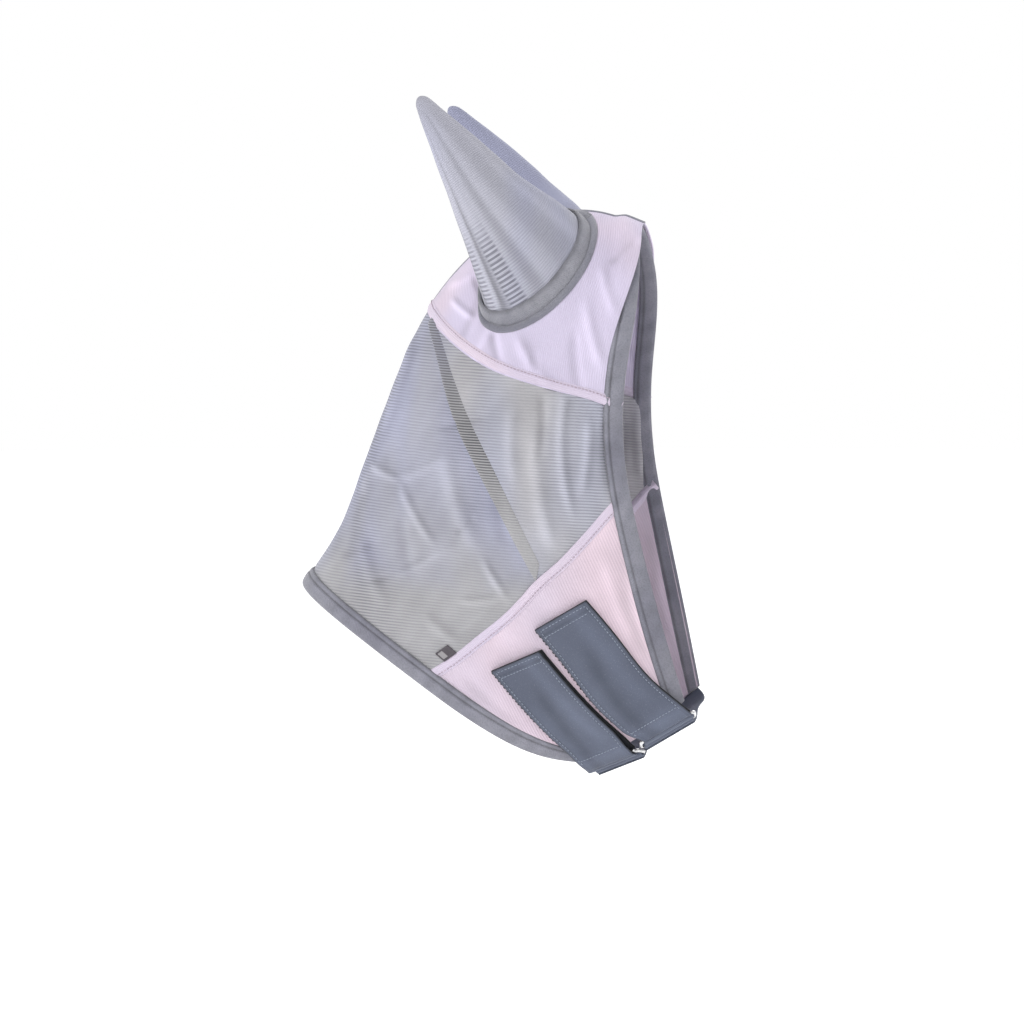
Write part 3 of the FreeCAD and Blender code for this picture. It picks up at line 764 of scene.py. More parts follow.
def twill(name, base, dark, pitch, pale=0.25, seed=0.0):
    """Woven webbing: fine slanted ribs, dusty with pale fuzz."""
    k = Shader(name)
    x, y = k.uv()
    slant = k.wave(k.math("ADD", x, y), pitch, k.math("MULTIPLY", k.noise(80, 1.0, seed=seed), 1.0))
    weft = k.wave(y, pitch * 0.7)
    broad = k.range(k.noise(14, 3.0, seed=seed + 2), 0.35, 0.65)
    color = k.mix(broad, base, dark)
    fuzz = k.noise(1400, 2.0, seed=seed + 4)
    color = k.mix(k.range(fuzz, 0.55, 0.75, 0.0, pale), color, (0.36, 0.39, 0.45))
    between = k.math("MULTIPLY", k.math("SUBTRACT", 1.0, slant), 0.45)
    color = k.mix(between, color, tuple(c * 0.55 for c in dark))
    color = k.shaded(color)
    height = k.math("ADD", k.math("MULTIPLY", slant, 0.6), k.math("MULTIPLY", weft, 0.4))
    normal_out = k.bump(fuzz, 0.00015, under=k.bump(height, 0.0002))
    return k.finish(color, normal_out, roughness=0.9, sheen=0.1)


def fleece(name, base, shade, seed=0.0):
    """Soft padded knit: short pile with broad shading."""
    k = Shader(name)
    x, y = k.uv()
    broad = k.range(k.noise(16, 3.0, seed=seed), 0.35, 0.65)
    color = k.mix(broad, base, shade)
    pile = k.noise(700, 3.0, seed=seed + 2)
    color = k.mix(k.range(pile, 0.4, 0.75, 0.0, 0.35), color, tuple(c * 0.6 for c in shade))
    rib = k.wave(y, 0.0016, k.math("MULTIPLY", k.noise(90, 1.0, seed=seed + 6), 1.5))
    color = k.shaded(color)
    normal_out = k.bump(pile, 0.0005, under=k.bump(rib, 0.00015))
    return k.finish(color, normal_out, roughness=0.95, sheen=0.35)


def pile_tape(name, base, bump):
    """Hook or loop tape: dense dark bristles."""
    k = Shader(name)
    pile = k.noise(1500, 2.0)
    color = k.mix(k.range(pile, 0.4, 0.7), base, tuple(c * 3 + 0.01 for c in base))
    return k.finish(color, k.bump(pile, bump), roughness=0.8)


def thread(name, base):
    """Sewing thread."""
    k = Shader(name)
    twist = k.noise(1200, 2.0)
    color = k.mix(k.range(twist, 0.3, 0.7), base, tuple(c * 0.8 for c in base))
    return k.finish(color, k.bump(twist, 0.0001), roughness=0.6)


def metal(name, base):
    """Steel with worn, duller patches."""
    k = Shader(name)
    scuff = k.noise(220, 4.0)
    color = k.mix(k.range(scuff, 0.45, 0.75), base, tuple(c * 0.7 for c in base))
    dents = k.bump(k.noise(600, 2.0), 0.00003)
    return k.finish(color, dents, roughness=k.range(scuff, 0.3, 0.8, 0.14, 0.38), Metallic=1.0)


MESH = knit(
    "mesh", (0.375, 0.385, 0.51), (0.41, 0.405, 0.42), (0.14, 0.14, 0.17), 0.0024,
    sheer=0.3, strength=(0.3, 0.75), warm_below=-0.31,
)
SIDE_MESH = knit(
    "side_mesh", (0.43, 0.44, 0.53), (0.46, 0.45, 0.47), (0.17, 0.17, 0.20), 0.0024,
    sheer=0.3, strength=(0.25, 0.65), seed=2.0,
)
# The dart's near-black grooves are painted shade: the dark seen through the mesh where it turns in the
# fold.
DART_KNIT = knit(
    "dart_knit", (0.38, 0.38, 0.45), (0.42, 0.415, 0.43), (0.05, 0.05, 0.06), 0.0021,
    strength=(0.7, 0.95), seed=4.0, fade=(-0.27, -0.18),
)
EAR_KNIT = knit(
    "ear_knit", (0.355, 0.37, 0.51), (0.405, 0.405, 0.46), (0.20, 0.20, 0.26), 0.0018,
    strength=(0.3, 0.6), seed=6.0, stretch=(1, 1, 0.25), bars=(0.0395, 0.0036, 0.075),
)
CROWN_PINK = knit(
    "crown_pink", (0.62, 0.57, 0.73), (0.72, 0.61, 0.71), (0.42, 0.36, 0.47), 0.0019,
    ribs="x", strength=(0.2, 0.5), seed=8.0,
)
CHEEK_PINK = knit(
    "cheek_pink", (0.62, 0.54, 0.64), (0.74, 0.60, 0.68), (0.44, 0.34, 0.42), 0.0019,
    ribs="x", strength=(0.2, 0.5), seed=10.0,
)
HEM_PINK = knit(
    "hem_pink", (0.64, 0.57, 0.70), (0.70, 0.60, 0.70), (0.48, 0.41, 0.52), 0.0016,
    ribs="x", strength=(0.2, 0.45), seed=12.0,
)
BINDING = fleece("binding_fleece", (0.25, 0.25, 0.295), (0.19, 0.19, 0.235), seed=1.0)
CUFF_KNIT = fleece("cuff_fleece", (0.27, 0.27, 0.305), (0.205, 0.205, 0.24), seed=3.0)
STRAP = twill("strap_twill", (0.13, 0.15, 0.21), (0.105, 0.12, 0.17), 0.0011)
STRAP_UNDER = twill(
    "strap_under_twill", (0.02, 0.022, 0.03), (0.012, 0.013, 0.02), 0.0011, pale=0.05, seed=3.0,
)
LOOPS = pile_tape("loop_pile", (0.012, 0.012, 0.015), 0.0005)
HOOKS = pile_tape("hook_pile", (0.010, 0.010, 0.012), 0.0003)
THREAD = thread("grey_thread", (0.32, 0.36, 0.45))
PINK_THREAD = thread("pink_thread", (0.50, 0.40, 0.48))
LABEL_CLOTH = twill(
    "label_cloth", (0.11, 0.095, 0.11), (0.08, 0.07, 0.085), 0.0008, pale=0.15, seed=7.0,
)
LABEL_FIELD = twill(
    "label_edge", (0.42, 0.40, 0.41), (0.36, 0.34, 0.36), 0.0008, pale=0.1, seed=8.0,
)
STEEL = metal("steel", (0.66, 0.66, 0.67))


# ---------------------------------------------------------------- mesh panels

UNDER_BINDING = 1.05


def level_ribs(points, s, v):
    """UVs whose y is nearly the height on the head, so that the ribs run almost level."""
    return pair(lengths(points, 1), points[..., 2] + 0.06 * points[..., 0])


def edge_dip(s, v):
    """Under a binding the panels lie lower than the form, between the binding's two sides."""
    rear, nose = v / binding_share(s, 0), (1 - v) / binding_share(s, 1)
    return UNDER_BINDING * (ease((rear - 0.8) / 0.5) + ease((nose - 0.8) / 0.5) - 2)


def clear_of_seams(s, v):
    """0 at the seams to the crown and the cheek, 1 well away from them."""
    end = CROWN_SEAM[-1][0]
    from_crown = np.where(np.abs(s) < end, v - seam_v(crown_seam, np.minimum(np.abs(s), end)), 1)
    cheek_s = cheek_seam(share_at(cheek_seam, 1, v))[..., 0]
    return ease(from_crown / 0.05) * ease((cheek_s - np.abs(s)) / 0.05)


def mesh_shade(points, s, v):
    """Light on the creases and soft waves of the mesh."""
    light = crease_light(points, CREASES) * clear_of_seams(s, v)
    return light * 0.5 + 0.07 * ripple(points, 60, 21) + 0.05 * ripple(points, 22, 22)


def mesh_height(s, v, base):
    """The mesh panels' inner face: soft creases that die out at the seams."""
    edge = ease((1 - v) / 0.06) * ease(v / 0.06) * clear_of_seams(s, v)
    soft = 0.35 * ripple(base, 55, 1) + 0.18 * ripple(base, 24, 2)
    left = creases(base, CREASES)
    return 0.2 + np.maximum((left + soft + eye_bulge(base)) * edge, -0.8) + edge_dip(s, v)


def curve_between(curve, first, last):
    """The stretch of a curve between two shares of it."""
    return lambda t: curve(first + (last - first) * np.asarray(t, float))


DART_ON_CHEEK = float(share_at(cheek_seam, 1, DART[-1][1]))
NOSE_HIGH = 0.575


def face_panel():
    """The mesh over the front of the face, from dart to dart and from cheek seam to cheek seam."""
    low_s = DART[-1][0]
    cheek = curve_between(cheek_seam, DART_ON_CHEEK, 0.96)

    def top(t):
        s = (2 * np.asarray(t, float) - 1) * low_s
        return pair(s, seam_v(dart, s) - SEAM_OVERLAP)

    def bottom(t):
        s = (2 * np.asarray(t, float) - 1) * NOSE_HIGH
        return pair(s, 0.985)

    def right(t):
        return left(t) * np.array([-1.0, 1.0])

    left = joined(cheek, top(1.0), bottom(1.0))
    area = four_sided(top, bottom, right, left)
    obj = panel(
        "face_mesh", area, mesh_height, MESH_CLOTH, 241, 170, MESH, level_ribs, shade=mesh_shade,
    )
    return tie(obj, "mask", "face_mesh", "face_mesh")


def level(v, first, last):
    """The line at one v from one s to another, as a function of the share of the way."""
    return lambda t: pair(first + (last - first) * np.asarray(t, float), v)


def side_panel(name):
    """The mesh between the dart and the rear binding."""
    crown = curve_between(crown_seam, float(share_at(crown_seam, 0, DART_STARTS_AT)), 0.99)
    cheek = curve_between(cheek_seam, DART_ON_CHEEK, 0.02)
    front = curve_between(dart, float(share_at(dart, 0, DART_STARTS_AT)), 1.0)
    back = level(0.012, crown(1.0)[0], cheek(1.0)[0])
    top, bottom = joined(crown, front(0.0), back(0.0)), joined(cheek, front(1.0), back(1.0))
    area = four_sided(top, bottom, front, back)
    return panel(
        name, area, mesh_height, MESH_CLOTH, 130, 110, SIDE_MESH, level_ribs, shade=mesh_shade,
    )


def dart_fold(name):
    """The fold of mesh that stands up down each side of the face. It widens and fades downwards."""
    t, q = grid_of(np.linspace(0.19, 0.99, 200), np.linspace(-1, 1, 15))
    sv = dart(t)
    wide = (3.4 + 3.6 * ease((t - 0.2) / 0.7)) * 0.0031
    s, v = sv[..., 0] + 0.3 * q * wide, sv[..., 1] + q * wide
    high = 1.35 * (1 - q ** 4) * (1 - 0.75 * ease((t - 0.6) / 0.4)) * ease((t - 0.18) / 0.05) + 0.25
    outer, inner = on_panel(mesh_height, s, v, 0.95 + high), on_panel(mesh_height, s, v, 0.3)
    # Painted light on the creases, and painted shade down the middle of the fold, fading out lower
    # down.
    fade = ease((t - 0.45) / 0.5)
    shade = mesh_shade(outer, s, v) * 0.5 - 0.2 * (1 - fade) * (1 - q ** 4)
    return tidy(slab(name, outer, inner, level_ribs(outer, s, v), DART_KNIT, shade=shade))


# ---------------------------------------------------------------- crown, cheeks and their hems

def poll_half(v):
    """Half the width of the poll binding, in s."""
    x = np.clip((v - SLOT[0]) / (SLOT[1] - SLOT[0]), 0, 1)
    return POLL_HALF + SLOT_BULGE * np.sin(pi * x) ** 2


def over_binding(s):
    """How far the crown reaches over the rear binding: fully at the poll, not at all lower down."""
    return 1 - ease((np.abs(s) - 0.14) / 0.32)


ABOVE_BINDING = 3.7


def on_binding(s, v):
    """How high a panel stands where it lies on the rear binding."""
    return ABOVE_BINDING * (1 - ease((v / binding_share(s, 0) - 0.9) / 0.7))


def crown_height(s, v, base):
    """The crown's inner face: its folds, and the rise where it lies over the rear binding."""
    edge = ease(v / 0.08) * ease((0.5 - v) / 0.08)
    pad = on_binding(s, v) * np.minimum(over_binding(s) * 5, 1)
    folds = creases(base, CROWN_FOLDS) + 0.4 * ripple(base, 45, 4) + 0.15 * ripple(base, 20, 5)
    return 0.7 + np.maximum(folds * edge, -0.6) + pad


FOOT = form(*EAR_AT)


def ear_offset(points):
    """How far a point is from the left ear's foot along and beside its ellipse, in radii."""
    dx, dz = points[..., 0] - FOOT[0], points[..., 2] - FOOT[2]
    x, z = EAR_MAJOR
    return (dx * x + dz * z) / (EAR_RADII[0] + 3), (dx * z - dz * x) / (EAR_RADII[1] + 3)


def crown_area(p, q):
    """The left crown: p from the poll binding down to the seam's end, q from rear to front."""
    end = CROWN_SEAM[-1][0] - 0.004
    start = end * p
    rear_v = binding_share(start, 0) * (1 - over_binding(start))
    v = rear_v * (1 - q) + seam_v(crown_seam, start) * q
    s = start + (poll_half(v) - 0.004) * (1 - p) ** 3
    rear_v = binding_share(s, 0) * (1 - over_binding(s))
    return pair(s, rear_v * (1 - q) + (seam_v(crown_seam, s) + SEAM_OVERLAP) * q)


def crown_panel(name):
    """The pink panel round the ear, with the ear's opening left out."""
    def keep(points, s, v):
        a, b = ear_offset(points)
        return (a * a + b * b) > 1.0

    def shade(points, s, v):
        return crease_light(points, CROWN_FOLDS) * 0.5 + 0.05 * ripple(points, 40, 23)

    return panel(
        name, crown_area, crown_height, PINK_CLOTH, 150, 190, CROWN_PINK, keep=keep, shade=shade,
    )


def cheek_height(s, v, base):
    """The cheek's inner face: pleats that die out at its edges and under the straps."""
    edge = ease((1 - np.abs(s)) / 0.05) * ease((np.abs(s) - 0.55) / 0.1)
    rear, nose = v / binding_share(s, 0), (1 - v) / binding_share(s, 1)
    edge = edge * ease((rear - 1.1) / 0.9) * ease((nose - 1.1) / 0.9)
    strapped = ease((np.abs(s) - 0.80) / 0.08) * 0.75
    folds = creases(base, PLEATS) + 0.3 * ripple(base, 40, 6)
    return 0.1 + np.maximum(folds * edge * (1 - strapped), -0.5) + edge_dip(s, v)


def cheek_area():
    """The left cheek: p along the cheek seam and the jaw, q from the one to the other."""
    def last(t):
        return pair(1, 0.02 + 0.96 * np.asarray(t, float))

    first = curve_between(cheek_seam, 0.01, 0.975)
    start, end = level(0.015, first(0.0)[0], 1), level(0.985, first(1.0)[0], 1)
    seam, edge = joined(first, start(0.0), end(0.0)), joined(last, start(1.0), end(1.0))
    return four_sided(seam, edge, start, end)


def cheek_panel(name):
    """The pink panel over the jaw, with its ribs aslant."""
    def slanted(points, s, v):
        x, z = points[..., 0], points[..., 2]
        return pair(x * 0.8 + z * 0.35, z * 0.8 - x * 0.35)

    def shade(points, s, v):
        return crease_light(points, PLEATS) * 0.3 + 0.05 * ripple(points, 30, 24)

    return panel(
        name, cheek_area(), cheek_height, PINK_CLOTH, 120, 110, CHEEK_PINK, slanted, shade=shade,
    )


TO_CROWN, TO_CHEEK = (-0.4, -1.0), (1.0, 0.0)
HEM_SCALE = 0.95
HEM_STITCHES_AT = 5.8
# Profile of a hem: how far inwards from the seam, and how high.
HEM = [
    (-0.6, -0.8), (-0.9, 0.2), (-0.4, 1.0), (0.6, 1.5), (2.2, 1.7), (4.6, 1.55), (6.8, 1.3),
    (8.0, 0.9), (8.6, 0.3), (8.8, -0.4), (4.0, -0.9),
]


def beside(curve, t, distance, inwards):
    """Places that far from a seam, to its inwards side, as (s, v)."""
    sv = curve(t)
    s, v = sv.T
    step = 1e-3
    here = form(s, v)
    ahead = unit(np.gradient(here, axis=0))
    away = np.cross(normal(s, v), ahead)
    ds, dv = (form(s + step, v) - here) / step, (form(s, v + step) - here) / step
    away = away * np.sign(np.sum(away * (ds * inwards[0] + dv * inwards[1]), axis=-1, keepdims=True))
    a, b, c = np.sum(ds * ds, -1), np.sum(ds * dv, -1), np.sum(dv * dv, -1)
    e, f = np.sum(ds * away, -1), np.sum(dv * away, -1)
    det = a * c - b * b
    return sv + pair((e * c - f * b) / det, (f * a - e * b) / det) * distance


def hem(name, curve, first, last, height, inwards):
    """A rolled hem along a seam: the profile laid on the panel's own surface."""
    t = np.linspace(first, last, 240)
    columns = []
    for across, up in HEM:
        s, v = beside(curve, t, across * HEM_SCALE, inwards).T
        rise = up * (1 + 0.1 * ripple(form(s, v), 18, 9))
        columns.append(on_panel(height, s, v, 0.5 + rise))
    return tube(name, np.stack(columns, axis=1), HEM_PINK)


def seam_stitches(name, curve, first, last, height, inwards):
    """A row of stitches along the top of a hem."""
    t = np.linspace(first, last, 260)
    s, v = beside(curve, t, HEM_STITCHES_AT, inwards).T
    return stitch_row(name, on_panel(height, s, v, 2.0), normal(s, v), PINK_THREAD, pitch=3.0)


def sewn_seam(name, *seam):
    """The hem and its stitches along one seam, on both sides of the head."""
    both_sides(lambda piece: hem(piece, *seam), f"{name}_hem", slot=name)
    both_sides(lambda piece: seam_stitches(piece, *seam), f"{name}_stitches", slot=name)


# ---------------------------------------------------------------- bindings

ROLL_HIGH = 3.6
ROLL_LOW = 1.4
ROLL_GROOVE_AT = 0.72
ROLL_GROOVE = 0.9
GROOVE_WIDTH = 0.05
# How much flatter the roll is under the straps and under the crown.
UNDER_STRAPS = 0.62
UNDER_CROWN = 0.25


def roll():
    """Profile of a padded strip folded over an edge: rounded, with a groove near its inner side."""
    upper, lower = [], []
    for a in np.linspace(0, pi, 26):
        x = (1 - cos(a)) / 2
        y = ROLL_HIGH * sin(a) ** 0.55 - ROLL_GROOVE * hump(x - ROLL_GROOVE_AT, GROOVE_WIDTH)
        upper.append((x, max(y, 0.1)))
    for x in np.linspace(1, 0, 8)[1:-1]:
        lower.append((x, -ROLL_LOW * sin(pi * x) ** 0.6))
    return upper + lower


def edge_binding(name, edge):
    """The padded strip along the rear edge (0) or the nose edge (1), folded over the panels' edges."""
    profile = np.array(roll())
    s, q = grid_of(np.linspace(-1, 1, 420), np.arange(len(profile)))
    inner_share, up = profile[q, 0], profile[q, 1]
    inwards = inner_share * binding_share(s, edge)
    v = inwards if edge == 0 else 1 - inwards
    flat = ease((np.abs(s) - PAD_FLATTENS[0]) / (PAD_FLATTENS[1] - PAD_FLATTENS[0]))
    hidden = over_binding(s) if edge == 0 else 0 * s
    squeeze = (1 - UNDER_STRAPS * flat) * (1 - UNDER_CROWN * hidden)
    squeeze = squeeze * (1 + 0.05 * ripple(form(s, v), 30, 11))
    points = place(s, v, up * np.where(up > 0, squeeze, 1))
    # Painted shade in the binding's groove and along its inner edge, where it meets the panels, with
    # soft random tone.
    grooves = hump(inner_share - ROLL_GROOVE_AT, GROOVE_WIDTH) + hump(inner_share - 1, GROOVE_WIDTH)
    obj = tube(name, points, BINDING, -0.45 * grooves + 0.1 * ripple(points, 14, 25))
    return tie(obj, "mask", "binding", name)


def poll_strip():
    """The grey strip over the poll seam, which opens round the forelock slot."""
    front = crown_seam(0.0)[1] - SEAM_OVERLAP
    v, q = grid_of(np.linspace(0.0, front, 150), np.linspace(-1, 1, 41))
    s = q * (poll_half(v) + 0.006)
    x = np.clip((v - SLOT[0] - 0.02) / (SLOT[1] - SLOT[0] - 0.04), 0, 1)
    opening = SLOT_HALF * np.sin(pi * x)
    keep = (np.abs(s) >= opening - 0.001) | (opening < 0.003)
    dome = 1 - (np.abs(q)) ** 4
    pad = on_binding(s, v)
    high = 0.9 + pad + 2.2 * dome * (0.5 + 0.5 * ease((np.abs(s) - opening) / 0.008))
    outer = place(s, v, high)
    inner = place(s, v, pad - 0.4)
    obj = tidy(slab("poll_binding", outer, inner, None, BINDING, keep=keep))
    return tie(obj, "mask", "binding", "poll_binding")


# ---------------------------------------------------------------- ears

def bezier(a, b, c, t):
    """Points of a curve from a to c that bends towards b."""
    t = np.asarray(t, float)[..., None]
    return a * (1 - t) ** 2 + b * 2 * t * (1 - t) + c * t * t


def ear_frame(t):
    """The ear's axis at t, and its cross directions there: towards its back and towards its side."""
    axis = bezier(FOOT, EAR_BEND, EAR_TIP, t)
    ahead = unit(bezier(FOOT, EAR_BEND, EAR_TIP, t + 1e-3) - bezier(FOOT, EAR_BEND, EAR_TIP, t - 1e-3))
    back = np.broadcast_to(np.array([EAR_MAJOR[0], 0, EAR_MAJOR[1]]), ahead.shape)
    back = unit(back - ahead * np.sum(back * ahead, axis=-1, keepdims=True))
    return axis, back, np.cross(back, ahead)


def ear_cone(t, angle, height):
    """The ear as a bent cone, with no regard to the crown's shape."""
    axis, back, out = ear_frame(t)
    taper = np.clip(1 - t, 0, 1) ** 0.95
    wide = EAR_HALF_WIDTH[1] + (EAR_HALF_WIDTH[0] - EAR_HALF_WIDTH[1]) * taper + height
    deep = EAR_HALF_DEPTH[1] + (EAR_HALF_DEPTH[0] - EAR_HALF_DEPTH[1]) * taper + height
    return axis + back * (wide * np.cos(angle))[..., None] + out * (deep * np.sin(angle))[..., None]


def ear_rim(angle, grow):
    """Places round the left ear's opening, an ellipse in side view made larger by grow."""
    x, z = EAR_MAJOR
    along, beside = (EAR_RADII[0] + grow) * np.cos(angle), (EAR_RADII[1] + grow) * np.sin(angle)
    return lift(FOOT[0] + x * along + z * beside, FOOT[2] + z * along - x * beside, *EAR_AT, 0.03)


def ear_point(t, angle, height):
    """Points of the left ear's wall: t from the crown to the tip, angle round it from the back."""
    t, angle, height = arrays(t, angle, height)
    rim_s, rim_v = ear_rim(angle, height - 0.1)
    rim = place(rim_s, rim_v, 0.3)
    start = ear_cone(np.zeros_like(t), angle, height)
    return ear_cone(t, angle, height) + (rim - start) * (1 - ease(t / EAR_BLEND))[..., None]


def ear_relief(t, angle):
    """Lengthwise folds: a ridge along the front of the ear, a valley beside it, and soft waves."""
    folds = np.zeros(np.shape(angle))
    for at, wide, high in EAR_FOLDS:
        folds = folds + high * hump((angle - at + pi) % (2 * pi) - pi, wide)
    fade = ease(t / 0.12) * ease((1 - t) / 0.2)
    return folds * fade * (0.5 + 0.5 * (1 - t))


def ear_cover(name):
    """The knit cover of one ear, from its cuff to a rounded tip."""
    dome_shares = EAR_DOME + (1 - EAR_DOME) * np.sin(np.linspace(0.1, pi / 2, 16))
    share = np.r_[np.linspace(0, EAR_DOME, 150), dome_shares]
    t, angle = grid_of(share, np.linspace(0, 2 * pi, 141))
    centre = bezier(FOOT, EAR_BEND, EAR_TIP, t)
    bare = ear_cone(t, angle, 0.0)
    waves = 0.35 * ripple(bare, 34, 13) * ease(t / 0.1) * ease((1 - t) / 0.1)
    relief = ear_relief(t, angle) + waves
    out = unit(ear_cone(t, angle, 1.0) - bare) * relief[..., None]
    dome = np.sqrt(np.maximum(1 - (np.maximum(t - EAR_DOME, 0) / (1 - EAR_DOME)) ** 2, 0))[..., None]
    outer = centre + (ear_point(t, angle, 0.0) + out - centre) * dome
    deeper = centre + (ear_point(t, angle, -EAR_CLOTH) + out - centre) * dome
    inner = deeper - unit(ear_frame(np.ones(1))[0] - FOOT) * EAR_CLOTH * (1 - dome)
    up = lengths(outer, 0)
    uv = pair(angle * EAR_UV_RADIUS, up.mean(axis=1, keepdims=True))
    # Painted light and shade across the lengthwise folds, and painted shade at the foot, where the
    # cover goes into the cuff.
    slope = (ear_relief(t, angle + 0.05) - ear_relief(t, angle - 0.05)) / 1.2
    shade = np.tanh(slope * 0.7 + relief * 0.05) * 0.5 - 0.25 * (1 - ease(t / 0.05))
    obj = tidy(slab(name, outer, inner, uv, EAR_KNIT, shade=shade))
    weld(obj)
    declare_sheet(outer)
    return obj


def ear_covers():
    """Both covers, each with its placement baked into its mesh. They are not tied to the ears."""
    kinds = ("ear_outer", "ear_inner", "ear_sleeve_outer", "ear_sleeve_inner")
    nodes = [kind + "_{side}" for kind in kinds]
    covers = both_sides(ear_cover, "ear", *nodes, rides=None, slot="ear_knit")
    for cover, body, sign in zip(covers, ("ear_left", "ear_right"), (1, -1)):
        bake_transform(cover)


def ear_cuff(name):
    """The padded cuff round the ear's foot."""
    angle = np.linspace(0, 2 * pi, 161)[:-1]
    low, high = ear_point(0.0, angle, 0.4), ear_point(0.07, angle, 0.4)
    up = unit(high - low)
    out = unit(ear_point(0.03, angle, 2.4) - ear_point(0.03, angle, 0.4))
    profile = []
    for a in np.linspace(0, 2 * pi, 25)[:-1]:
        x = (1 - cos(a)) / 2 * CUFF_WIDTH
        y = CUFF_HIGH * sin(a) ** 0.7 if sin(a) >= 0 else -CUFF_LOW * abs(sin(a)) ** 0.6
        profile.append((x, CUFF_BASE + y))
    profile = np.array(profile)
    points = low[:, None] + up[:, None] * profile[None, :, :1] + out[:, None] * profile[None, :, 1:]
    x = profile[None, :, 0] / CUFF_WIDTH
    # Painted shade at the cuff's two edges, where it meets the ear and the flange; the rest is painted
    # a little lighter, with soft random tone.
    contact_shade = 0.5 * hump(x, 0.1) + 0.35 * hump(x - 1, 0.08)
    obj = tube(name, points, CUFF_KNIT, 0.12 - contact_shade + 0.1 * ripple(points, 12, 31), closed=True)
    return obj


# Profile of the flange: how far from the ear's opening, and how high above the crown.
FLANGE = [
    (0.8, 0.2), (1.6, 1.4), (2.6, 2.4), (4.2, 2.7), (5.6, 2.4), (6.6, 1.4), (7.0, 0.2), (4.0, 0.0),
]


def ear_flange(name):
    """The flat outer edge of the band, sewn to the crown."""
    angle = np.linspace(0, 2 * pi, 161)[:-1]
    rows = []
    for grow, high in FLANGE:
        rows.append(on_panel(crown_height, *ear_rim(angle, grow), 0.6 + high))
    obj = tube(name, np.stack(rows, axis=1), BINDING, closed=True)
    return obj


# ---------------------------------------------------------------- jaw straps

